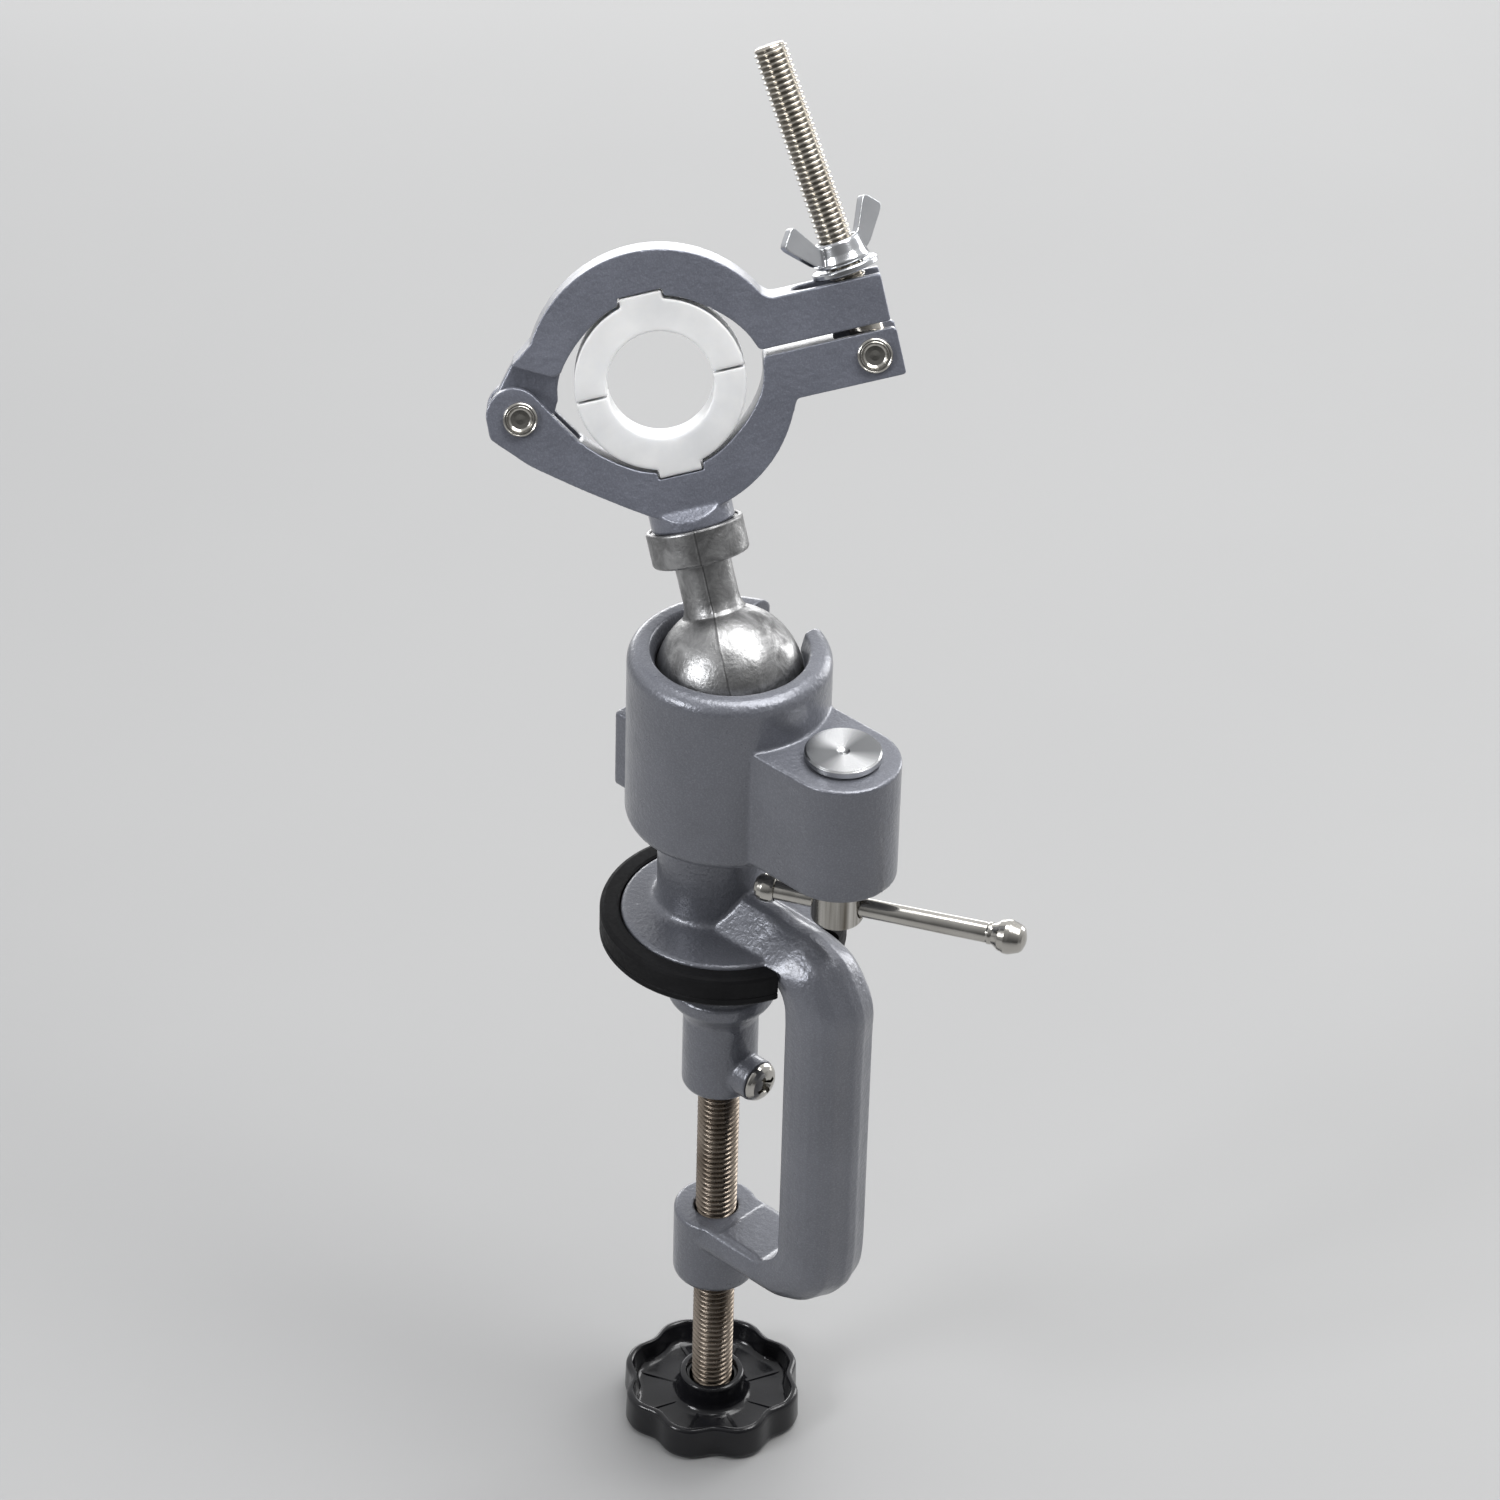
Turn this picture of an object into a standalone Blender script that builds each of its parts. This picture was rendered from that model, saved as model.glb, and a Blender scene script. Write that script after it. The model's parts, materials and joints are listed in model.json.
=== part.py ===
# Bench holder: a table C-clamp casting whose ball head carries a hinged two-jaw ring clamp.
# Frame: origin on the clamp screw's axis, at the underside of the rubber table pad.
# +Z up, +X from the screw axis towards the spine of the C. The casting is symmetric about
# Y = 0, except for the notch in the +Y side of its head.
# All sizes are millimetres; MM turns them into metres.
import math
import bpy
import bmesh
from mathutils import Matrix, Vector

MM = 0.001
GAP = 0.3                       # clearance between neighbouring pieces

# head of the casting, and the ball in it
HEAD_R = 23.4
HEAD_Z0 = 35.0
HEAD_Z1 = 80.7
HEAD_FILLET = 3.5
BALL_R = 17.0
BALL_Z = 73.0
LIP_R = 18.0                    # top edge of the cavity
THROAT_R = 16.85                # narrowest place, above the ball's middle
THROAT_Z = 77.0
CAVITY_R = BALL_R + GAP
CAVITY_Z0 = 52.0
NOTCH_R = 15.6 / 2
NOTCH_TOP_Z = 95.0
PLATE_X = -25.5
PLATE_HALF_Y = 11.0
PLATE_Z1 = 56.0
# locking lug
LUG_X = 35.0
LUG_R = 13.3
LUG_Z0 = 37.0
LUG_Z1 = 68.0
PLUNGER_Z = 57.0
# neck, flange and pad
NECK_X = -4.5
NECK_R = 12.4
FLANGE_R = 24.0
FLANGE_Z0 = 3.3
FLANGE_Z1 = 8.0
PAD_R = 28.9
PAD_IN_R = 24.3
PAD_FLOOR = 3.0
PAD_Z1 = 7.8
# C frame
ARM_HALF_W = 10.0
SPINE_IN_X = 27.8
SPINE_OUT_X = 43.8
THROAT_FLOOR_Z = -83.5
ARM_BOTTOM_Z = -93.0
BEND_IN_R = 9.0
BEND_OUT_R = 17.0
BOSS_R = 10.2
BOSS_Z0 = -103.8
BOSS_FILLET = 2.5
# clamp screw, foot and hand knob
SCREW_R = 5.0
SCREW_TAIL_R = 5.2              # lower end, inside the knob
SCREW_TOP = -24.6
SCREW_END = -145.5
FOOT_R = 12.8
FOOT_Z1 = -14.0
FOOT_BOSS_R = 9.0
FOOT_Z0 = -44.4
RETAINER_R = 2.0
RETAINER_Z = -38.0
RETAINER_BOSS_X = 12.5          # outer face of the side boss
KNOB_R = 22.3
KNOB_Z1 = -138.4
KNOB_Z0 = -147.6
KNOB_LOBES = 8
KNOB_GROOVE = 2.0
DISH_FLOOR_Z = KNOB_Z0 + 3.4
HUB_TOP_Z = -136.7
# locking pin, nut and T bar
PIN_R = 4.0
PIN_HEAD_R = 8.75
PIN_Z0 = 31.2
NUT_R = 6.1
NUT_Z0 = 23.5
NUT_Z1 = 36.7
NUT_FLOOR = 30.8                # bottom of the blind hole
BAR_Z = 27.4
BAR_R = 2.4
BAR_BALL_R = 4.0
BAR_ANGLE = math.radians(26.0)
BAR_LONG = 40.8
BAR_SHORT = -16.6
# ball stem, along its axis from the ball's centre
STEM_R = 6.5
COLLAR_R = 11.2
COLLAR_START = 27.9
COLLAR_END = 35.6
COLLAR_RIM = 36.2               # top of the raised rim around the collar
RING_DIST = 69.5
STEM_AXIS = Vector((-0.443, 0.120, 0.888)).normalized()
TAB_DIR = Vector((0.635, 0.740, 0.217))   # rough direction of the jaw tabs
# ring clamp, in its own frame
RING_T = 6.9                    # half depth of the jaws
HINGE = (-32.2, -0.5)
HINGE_PIN_R = 3.0
PIVOT = (48.1, -4.3)
PIVOT_PIN_R = 2.5
TONGUE_HALF = 3.0               # half thickness of the upper jaw at the hinge
BOLT_SLOT_HALF = 4.5
BORE_R = 20.0
BORE_FLARE = 3.3
JAW_R = 30.4
FIX_SEAT_Y = -24.9              # floor of the fixing screw's countersink
# key notch in the jaws, sleeve and its key
KEY_NOTCH_R = 21.0
KEY_NOTCH_HALF = 5.2
SLEEVE_IN_R = 12.0
SLEEVE_R = 19.3
KEY_R = 20.7
KEY_HALF = 4.8
SPLIT_HALF = 0.25
# swing bolt and wing nut, measured along the bolt from its pivot
BOLT_LEAN = math.radians(6.2)
BOLT_R = 3.95
BOLT_LEN = 72.3
WASHER_D = 19.05
NUT_BASE = WASHER_D + 1.9
NUT_TOP = NUT_BASE + 5.6
WING_TURN = math.radians(39.0)

for old in list(bpy.data.objects):
    bpy.data.objects.remove(old, do_unlink=True)

parts = bpy.data.collections.new("drill_ring_bench_clamp")
cutters = bpy.data.collections.new("cutters")
bpy.context.scene.collection.children.link(parts)
bpy.context.scene.collection.children.link(cutters)


# ---------------------------------------------------------------- materials
def material(name, colour, roughness, metallic):
    mat = bpy.data.materials.new(name)
    mat.use_nodes = True
    inputs = mat.node_tree.nodes["Principled BSDF"].inputs
    inputs["Base Color"].default_value = (*colour, 1.0)
    inputs["Roughness"].default_value = roughness
    inputs["Metallic"].default_value = metallic
    mat.diffuse_color = (*colour, 1.0)
    return mat


CAST = material("painted_casting", (0.20, 0.215, 0.25), roughness=0.42, metallic=0.25)
RING_PAINT = material("ring_paint", (0.165, 0.178, 0.215), roughness=0.5, metallic=0.2)
RUBBER = material("black_rubber", (0.015, 0.015, 0.016), roughness=0.65, metallic=0.0)
GLOSS = material("black_gloss", (0.006, 0.006, 0.007), roughness=0.16, metallic=0.0)
NICKEL = material("nickel", (0.46, 0.44, 0.41), roughness=0.28, metallic=1.0)
ZINC = material("zinc", (0.62, 0.62, 0.6), roughness=0.3, metallic=1.0)
DIECAST = material("die_cast", (0.55, 0.55, 0.54), roughness=0.35, metallic=1.0)
BRASS = material("brass_shoe", (0.6, 0.45, 0.2), roughness=0.35, metallic=1.0)
NYLON = material("nylon_seat", (0.75, 0.75, 0.7), roughness=0.5, metallic=0.0)
WHITE = material("white_sleeve", (0.75, 0.77, 0.8), roughness=0.35, metallic=0.0)


# ---------------------------------------------------------------- shape builders
# A shape built without a material is a hidden helper for a boolean.
def finish(obj, mat):
    """Put an object in its collection, with its finish."""
    if mat is None:
        cutters.objects.link(obj)
        obj.hide_render = True
        obj.display_type = "WIRE"
    else:
        parts.objects.link(obj)
        obj.data.materials.clear()
        obj.data.materials.append(mat)
        obj.data.shade_smooth()
    return obj


def mesh_object(name, bm):
    mesh = bpy.data.meshes.new(name)
    bm.to_mesh(mesh)
    bm.free()
    return bpy.data.objects.new(name, mesh)


def lathe(name, profile, mat=None, steps=40, closed=False):
    """A turned piece about its local Z; profile holds (radius, z)."""
    bm = bmesh.new()
    verts = [bm.verts.new((radius * MM, 0.0, z * MM)) for radius, z in profile]
    for start, end in zip(verts, verts[1:]):
        bm.edges.new((start, end))
    if closed:
        bm.edges.new((verts[-1], verts[0]))
    obj = mesh_object(name, bm)
    turn = obj.modifiers.new("turn", "SCREW")
    turn.axis = "Z"
    turn.steps = turn.render_steps = steps
    turn.use_merge_vertices = True
    turn.merge_threshold = 0.00001
    turn.use_smooth_shade = True
    return finish(obj, mat)


def arc(centre_x, centre_y, radius, start, end, count):
    """Points on an arc, angles in degrees."""
    angles = [math.radians(start + (end - start) * i / count) for i in range(count + 1)]
    return [(centre_x + radius * math.cos(angle), centre_y + radius * math.sin(angle))
            for angle in angles]


def prism(name, outline, z0, z1, mat=None):
    """A flat outline as a filled 2D curve, extruded between two heights, made a mesh."""
    curve = bpy.data.curves.new(name, "CURVE")
    curve.dimensions = "2D"
    curve.fill_mode = "BOTH"
    curve.extrude = (z1 - z0) / 2 * MM
    spline = curve.splines.new("POLY")
    spline.points.add(len(outline) - 1)
    for point, (x, y) in zip(spline.points, outline):
        point.co = (x * MM, y * MM, 0.0, 1.0)
    spline.use_cyclic_u = True
    temp = bpy.data.objects.new(name + "_outline", curve)
    bpy.context.scene.collection.objects.link(temp)
    bpy.context.view_layer.update()
    evaluated = temp.evaluated_get(bpy.context.evaluated_depsgraph_get())
    mesh = bpy.data.meshes.new_from_object(evaluated)
    bpy.data.objects.remove(temp, do_unlink=True)
    bm = bmesh.new()
    bm.from_mesh(mesh)
    bmesh.ops.remove_doubles(bm, verts=bm.verts, dist=0.000001)
    bmesh.ops.translate(bm, vec=(0, 0, (z0 + z1) / 2 * MM), verts=bm.verts)
    bmesh.ops.recalc_face_normals(bm, faces=bm.faces)
    bm.to_mesh(mesh)
    bm.free()
    mesh.name = name
    return finish(bpy.data.objects.new(name, mesh), mat)


def box(name, low, high):
    """A helper block between two corners."""
    bm = bmesh.new()
    bmesh.ops.create_cube(bm, size=1.0)
    for vert in bm.verts:
        vert.co = Vector([(low[i] + (vert.co[i] + 0.5) * (high[i] - low[i])) * MM
                          for i in range(3)])
    return finish(mesh_object(name, bm), None)


def rod(name, start, end, radius, mat=None, seg=24):
    """A round bar between two points."""
    start = Vector(start) * MM
    end = Vector(end) * MM
    bm = bmesh.new()
    bmesh.ops.create_cone(bm, cap_ends=True, segments=seg, radius1=radius * MM,
                          radius2=radius * MM, depth=(end - start).length)
    turn = (end - start).to_track_quat("Z", "Y").to_matrix().to_4x4()
    bmesh.ops.transform(bm, matrix=Matrix.Translation((start + end) / 2) @ turn, verts=bm.verts)
    return finish(mesh_object(name, bm), mat)


def loft(name, sections):
    """A helper skin through closed sections with the same number of points."""
    bm = bmesh.new()
    loops = [[bm.verts.new(Vector(point) * MM) for point in section] for section in sections]
    count = len(sections[0])
    for near, far in zip(loops, loops[1:]):
        for i in range(count):
            j = (i + 1) % count
            bm.faces.new((near[i], near[j], far[j], far[i]))
    bm.faces.new(list(reversed(loops[0])))
    bm.faces.new(loops[-1])
    bmesh.ops.triangulate(bm, faces=list(bm.faces))
    bmesh.ops.recalc_face_normals(bm, faces=bm.faces)
    return finish(mesh_object(name, bm), None)


def boolean(obj, others, operation):
    for other in others:
        mod = obj.modifiers.new(operation.lower() + "_" + other.name, "BOOLEAN")
        mod.operation = operation
        mod.solver = "EXACT"
        mod.object = other


def cut(obj, *others):
    boolean(obj, others, "DIFFERENCE")


def join(obj, *others):
    boolean(obj, others, "UNION")


def at(x, y, z):
    return Matrix.Translation(Vector((x, y, z)) * MM)


def frame_matrix(x_dir, y_dir, z_dir, origin):
    matrix = Matrix((x_dir, y_dir, z_dir)).transposed().to_4x4()
    matrix.translation = origin * MM
    return matrix


def place(obj, matrix, origin=(0, 0, 0)):
    """Move the origin to a point of the local frame, then set location and rotation."""
    offset = Vector(origin) * MM
    obj.data.transform(Matrix.Translation(-offset))
    matrix = matrix @ Matrix.Translation(offset)
    obj.location = matrix.to_translation()
    obj.rotation_mode = "QUATERNION"
    obj.rotation_quaternion = matrix.to_quaternion()
    return obj


# ---------------------------------------------------------------- frames
ball_centre = Vector((0, 0, BALL_Z))
tab_axis = (TAB_DIR - STEM_AXIS * TAB_DIR.dot(STEM_AXIS)).normalized()
bore_axis = tab_axis.cross(STEM_AXIS).normalized()
LUG = at(LUG_X, 0, 0)
# stem: Z along the stem from the ball's centre
STEM = frame_matrix(tab_axis, bore_axis * -1.0, STEM_AXIS, ball_centre)
# ring: X towards the tabs, Y away from the ball, Z along the bore
RING = frame_matrix(tab_axis, STEM_AXIS, bore_axis, ball_centre + STEM_AXIS * RING_DIST)
# bolt: Z along the shank from the pivot pin
bolt_dir = Vector((-math.sin(BOLT_LEAN), math.cos(BOLT_LEAN), 0))
BOLT = RING @ frame_matrix(Vector((bolt_dir.y, -bolt_dir.x, 0)), Vector((0, 0, -1)),
                           bolt_dir, Vector((*PIVOT, 0)))

# ---------------------------------------------------------------- C frame casting
casting = lathe("c_frame_casting",
                [(0, HEAD_Z1)]
                + arc(HEAD_R - HEAD_FILLET, HEAD_Z1 - HEAD_FILLET, HEAD_FILLET, 90, 0, 5)
                + [(HEAD_R, HEAD_Z0), (0, HEAD_Z0)], CAST, steps=56)
neck = lathe("neck_form", [(0, 36), (NECK_R, 36), (NECK_R, 10.2), (NECK_R + 0.6, 8.9),
                           (NECK_R + 2.0, 8.0), (NECK_R + 2.0, 6.0), (0, 6.0)], steps=36)
place(neck, at(NECK_X, 0, 0))
flange = lathe("flange_form", [(0, FLANGE_Z1), (FLANGE_R - 1.2, FLANGE_Z1),
                               (FLANGE_R, FLANGE_Z1 - 0.8), (FLANGE_R, FLANGE_Z0),
                               (0, FLANGE_Z0)], steps=56)
lug = prism("lug_form", [(12.0, -LUG_R)] + arc(LUG_X, 0, LUG_R, -90, 90, 16) + [(12.0, LUG_R)],
            LUG_Z0, LUG_Z1)
plate = box("plate_form", (PLATE_X, -PLATE_HALF_Y, HEAD_Z0), (-15, PLATE_HALF_Y, PLATE_Z1))


def c_section(inner_x, inner_z, outer_x, outer_z, flank):
    """A roof-shaped section of the C: flat inner face, flanks, and a narrow outer ridge.
    With flank below 1 the sides start to lean in closer to the inner face."""
    inner = Vector((inner_x, 0, inner_z))
    across = Vector((outer_x, 0, outer_z)) - inner
    outward = across.normalized()
    depth = across.length
    ridge = depth - 0.5
    flank_end = 3.6 + (depth - 5.0 - 3.6) * flank
    knee = ridge - (ridge - flank_end) * (0.45 - 0.03 * flank)
    knee_y = ARM_HALF_W - (ARM_HALF_W - 2.0) * (0.42 - 0.02 * flank)
    half = [(0, ARM_HALF_W - 1.3), (1.3, ARM_HALF_W), (flank_end, ARM_HALF_W),
            (knee, knee_y), (ridge, 2.0)]
    shape = [(out, -y) for out, y in half] + half[::-1]
    return [(inner.x + outward.x * out, y, inner.z + outward.z * out) for out, y in shape]


# inner x, inner z, outer x, outer z, flank; from the neck out and down the spine
STATIONS = [
    (-2, 3.5, -2, 15.6, 0.0),
    (14, 3.5, 15, 15.6, 0.0),
    (19, 3.4, 21, 14.6, 0.08),
    (22.9, 3.2, 28, 14.4, 0.2),
    (25.2, 2.0, 33.0, 12.8, 0.4),
    (26.6, 0.2, 37.0, 10.4, 0.6),
    (27.5, -2.6, 40.8, 5.0, 0.8),
    (SPINE_IN_X, -7, SPINE_OUT_X, -2, 0.95),
    (SPINE_IN_X, -12, SPINE_OUT_X, -12, 1.0),
    (SPINE_IN_X, -74.0, SPINE_OUT_X, -72, 1.0),
]
inner_bend = arc(SPINE_IN_X - BEND_IN_R, THROAT_FLOOR_Z + BEND_IN_R, BEND_IN_R, 0, -90, 5)
outer_bend = arc(SPINE_OUT_X - BEND_OUT_R, ARM_BOTTOM_Z + BEND_OUT_R, BEND_OUT_R, 0, -90, 5)
bend = [(*inner, *outer, 1.0) for inner, outer in zip(inner_bend[1:], outer_bend[1:])]
arm_end = (1.0, THROAT_FLOOR_Z, 1.0, ARM_BOTTOM_Z, 1.0)
c_form = loft("c_form", [c_section(*station) for station in STATIONS + bend + [arm_end]])

boss_form = lathe("boss_form",
                  [(0, THROAT_FLOOR_Z), (BOSS_R, THROAT_FLOOR_Z)]
                  + arc(BOSS_R - BOSS_FILLET, BOSS_Z0 + BOSS_FILLET, BOSS_FILLET, 0, -90, 4)
                  + [(0, BOSS_Z0)], steps=36)
cavity = lathe("cavity_cut",
               [(0, 90), (LIP_R + 0.2, 90), (LIP_R + 0.2, 81.0), (LIP_R, HEAD_Z1),
                (THROAT_R, THROAT_Z)]
               + arc(0, BALL_Z, CAVITY_R, 10, 0, 2)
               + [(CAVITY_R, CAVITY_Z0), (0, CAVITY_Z0)], steps=56)
notch_top = NOTCH_TOP_Z - BALL_Z
notch = prism("notch_cut", [(-NOTCH_R, notch_top)] + arc(0, 0, NOTCH_R, 180, 360, 12)
              + [(NOTCH_R, notch_top)], 0, 32)
# the outline stands upright, and its thickness runs along +Y from the ball's centre
place(notch, frame_matrix(Vector((-1, 0, 0)), Vector((0, 0, 1)), Vector((0, 1, 0)), ball_centre))
pin_bore = rod("pin_bore_cut", (LUG_X, 0, 30), (LUG_X, 0, 75), PIN_R + GAP)
shoe_bore = rod("shoe_bore_cut", (10, 0, PLUNGER_Z), (LUG_X, 0, PLUNGER_Z), 4.3, seg=20)
screw_bore = rod("screw_bore_cut", (0, 0, -110), (0, 0, -75), SCREW_R + GAP, seg=28)
join(casting, neck, flange, lug, plate, c_form, boss_form)
cut(casting, cavity, notch, pin_bore, shoe_bore, screw_bore)

# ---------------------------------------------------------------- rubber table pad
pad = lathe("table_pad", [(0, PAD_FLOOR), (PAD_IN_R, PAD_FLOOR), (PAD_IN_R, PAD_Z1),
                          (PAD_R - 1.0, PAD_Z1), (PAD_R, PAD_Z1 - 0.8), (PAD_R, 0.8),
                          (PAD_R - 0.8, 0), (0, 0)], RUBBER, steps=56)
pad_slot_half = ARM_HALF_W + 0.4
cut(pad, box("pad_slot_cut", (21.2, -pad_slot_half, -2), (32, pad_slot_half, 10)))

# ---------------------------------------------------------------- ball seat inside the head
seat_bowl = [(CAVITY_R * math.sin(math.radians(angle)),
              BALL_Z - CAVITY_R * math.cos(math.radians(angle)))
             for angle in (30.0, 38.0, 46.0, 54.0, 60.0)]
lathe("ball_seat", seat_bowl + [(16.9, 65.0), (16.9, 52.3), (9.0, 52.3)], NYLON,
      steps=36, closed=True)

# ---------------------------------------------------------------- locking parts in the lug
lock_pin = lathe("lock_pin", [(0, 69.6), (1.3, 69.6), (1.6, 70.0), (PIN_HEAD_R - 1.2, 70.4),
                              (PIN_HEAD_R, 69.8), (PIN_HEAD_R, 68.3), (PIN_R, 68.3),
                              (PIN_R, PIN_Z0), (0, PIN_Z0)], NICKEL, steps=32)
place(lock_pin, LUG)
rod("brake_plunger", (17.3, 0, PLUNGER_Z), (LUG_X - PIN_R - GAP, 0, PLUNGER_Z), 3.98, BRASS,
    seg=20)
lock_nut = lathe("lock_nut", [(0, NUT_FLOOR), (PIN_R + GAP, NUT_FLOOR), (PIN_R + GAP, NUT_Z1),
                              (NUT_R - 0.5, NUT_Z1), (NUT_R, NUT_Z1 - 0.5),
                              (NUT_R, NUT_Z0 + 0.8), (NUT_R - 0.8, NUT_Z0), (0, NUT_Z0)],
                 NICKEL, steps=28)
place(lock_nut, LUG)
bar_dir = Vector((math.cos(BAR_ANGLE), math.sin(BAR_ANGLE), 0))
bar_centre = Vector((LUG_X, 0, BAR_Z))
cut(lock_nut, rod("bar_hole_cut", bar_centre - bar_dir * 12, bar_centre + bar_dir * 12,
                  BAR_R + GAP, seg=16))

# T bar along its local Z, with a ball on its far end
BAR = Matrix.Translation(bar_centre * MM) @ bar_dir.to_track_quat("Z", "Y").to_matrix().to_4x4()
bar_ball = [(BAR_BALL_R * math.sin(math.radians(18.0 * k)),
             BAR_LONG + BAR_BALL_R * math.cos(math.radians(18.0 * k))) for k in range(8)]
ball_base = BAR_LONG - math.sqrt(BAR_BALL_R ** 2 - BAR_R ** 2)
bar = lathe("t_bar", bar_ball + [(BAR_R, ball_base), (BAR_R, BAR_SHORT), (0, BAR_SHORT)],
            NICKEL, steps=20)
place(bar, BAR)
# (radius, distance past the short end of the bar)
CAP = [(0, -0.3), (BAR_R + GAP, -0.3), (BAR_R + GAP, 2.0), (3.1, 1.5), (3.4, 0.2), (3.2, -1.4),
       (2.2, -2.7), (0, -3.2)]
cap = lathe("t_bar_end_cap", [(radius, BAR_SHORT + z) for radius, z in CAP], NICKEL, steps=20)
place(cap, BAR)

# ---------------------------------------------------------------- clamp screw and foot
# the screw has a groove around it at the retaining screw's height
lathe("clamp_screw", [(0, SCREW_TOP), (SCREW_R - 1.0, SCREW_TOP), (SCREW_R, SCREW_TOP - 1.0),
                      (SCREW_R, -35.6), (3.8, -35.8), (3.8, -40.2), (SCREW_R, -40.4),
                      (SCREW_R, -131.0), (SCREW_TAIL_R, -131.2),
                      (SCREW_TAIL_R, SCREW_END + 0.6), (4.6, SCREW_END), (0, SCREW_END)],
      NICKEL, steps=32)
foot = lathe("pressure_foot", [(0, FOOT_Z1), (FOOT_R - 0.6, FOOT_Z1), (FOOT_R, FOOT_Z1 - 0.6),
                               (FOOT_R, -17.6), (10.4, -20.6), (FOOT_BOSS_R, -22.0),
                               (FOOT_BOSS_R, FOOT_Z0 + 1.2), (FOOT_BOSS_R - 1.0, FOOT_Z0),
                               (SCREW_R + GAP, FOOT_Z0), (SCREW_R + GAP, -24.3), (0, -24.3)],
             CAST, steps=36)
join(foot, rod("foot_boss_form", (5.9, 0, RETAINER_Z), (RETAINER_BOSS_X, 0, RETAINER_Z), 5.2,
               seg=20))
cut(foot, rod("foot_hole_cut", (0, 0, RETAINER_Z), (16, 0, RETAINER_Z), RETAINER_R + GAP,
              seg=14))
head_seat = RETAINER_BOSS_X + GAP
retainer = lathe("foot_retaining_screw", [(0, 15.2), (2.6, 15.0), (4.3, 14.2), (4.85, 13.3),
                                          (4.85, head_seat), (RETAINER_R, head_seat),
                                          (RETAINER_R, 4.3), (0, 4.3)], NICKEL, steps=20)
place(retainer, at(0, 0, RETAINER_Z) @ Matrix.Rotation(math.radians(90), 4, "Y"))

# ---------------------------------------------------------------- hand knob
knob_outline = []
for k in range(KNOB_LOBES * 8):
    angle = 2 * math.pi * k / (KNOB_LOBES * 8)
    groove = (0.5 + 0.5 * math.cos(KNOB_LOBES * angle)) ** 1.5
    radius = KNOB_R - KNOB_GROOVE * groove
    knob_outline.append((radius * math.cos(angle), radius * math.sin(angle)))
knob = prism("hand_knob", knob_outline, KNOB_Z0, KNOB_Z1, GLOSS)
# ring-shaped dish in the top face, around the hub
dish = lathe("dish_cut", [(8.2, KNOB_Z1 + 2), (18.9, KNOB_Z1 + 2), (18.7, KNOB_Z1),
                          (17.6, DISH_FLOOR_Z), (8.2, DISH_FLOOR_Z)], closed=True)
hub = rod("hub_form", (0, 0, KNOB_Z0 + 1), (0, 0, HUB_TOP_Z), 8.0, seg=28)
hub_bore = rod("hub_bore_cut", (0, 0, SCREW_END - GAP), (0, 0, -125), SCREW_TAIL_R + GAP, seg=28)
cut(knob, dish)
join(knob, hub)
cut(knob, hub_bore)

# ---------------------------------------------------------------- ball stem
stem_angle = math.degrees(math.asin(STEM_R / BALL_R))    # where the stem meets the ball
stem = lathe("ball_stem",
             [(0, 22.0), (2.4, 22.0), (2.4, COLLAR_END), (10.1, COLLAR_END),
              (10.1, COLLAR_RIM), (COLLAR_R - 0.4, COLLAR_RIM), (COLLAR_R, COLLAR_RIM - 0.5),
              (COLLAR_R, COLLAR_START + 1.1), (COLLAR_R - 0.4, COLLAR_START + 0.3),
              (COLLAR_R - 1.1, COLLAR_START), (STEM_R + 0.6, COLLAR_START),
              (STEM_R, COLLAR_START - 0.8)]
             + arc(0, 0, BALL_R, 90 - stem_angle, -78, 12)
             + [(0, -BALL_R * math.cos(math.radians(12.0)))], DIECAST, steps=28)
place(stem, STEM)


# ---------------------------------------------------------------- ring clamp jaws
def bore_arc(start, end):
    """The jaw's bore, flared towards the split, angles in degrees."""
    points = []
    for k in range(41):
        angle = math.radians(start + (end - start) * k / 40)
        radius = BORE_R + BORE_FLARE * math.cos(angle) ** 6
        points.append((radius * math.cos(angle), radius * math.sin(angle)))
    return points


def key_corners(half_width, circle_r, flat_r, sign=1):
    """Key corners at the top (+1) or bottom (-1) of a circle, going from +X to -X."""
    start = math.sqrt(circle_r ** 2 - half_width ** 2)
    return [(half_width, sign * start), (half_width, sign * flat_r),
            (-half_width, sign * flat_r), (-half_width, sign * start)]


def key_notch(sign):
    """Corners of a bore's key notch, going from -X to +X."""
    return key_corners(KEY_NOTCH_HALF, BORE_R, KEY_NOTCH_R, sign)[::-1]


def cross_rod(name, centre, radius, seg, half=12):
    """A helper rod through the jaws, parallel to the bore."""
    return place(rod(name, (*centre, -half), (*centre, half), radius, seg=seg), RING)


BORE_SIDE_X = 5.4               # bore points nearer the middle give way to the key notch
upper_bore = bore_arc(2.0, 178.0)
right = [point for point in upper_bore if point[0] > BORE_SIDE_X and point[1] > 3.9]
left = [point for point in upper_bore if point[0] < -BORE_SIDE_X]
upper_outline = ([(53.3, 3.0), (53.3, 12.9), (52.8, 13.4), (28.4, 13.4)]
                 + arc(0, 0, JAW_R, 28.5, 150.0, 26) + [(-31.2, 11.8), (-36.0, 6.0)]
                 + arc(*HINGE, 7.3, 140.0, 340.0, 12)
                 + [(left[-1][0] - 0.1, 1.0)] + left[::-1] + key_notch(1) + right[::-1]
                 + [(23.4, 3.0), (24.8, 2.5), (52.8, 2.5)])
upper = prism("upper_jaw", upper_outline, -RING_T, RING_T, RING_PAINT)
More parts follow.
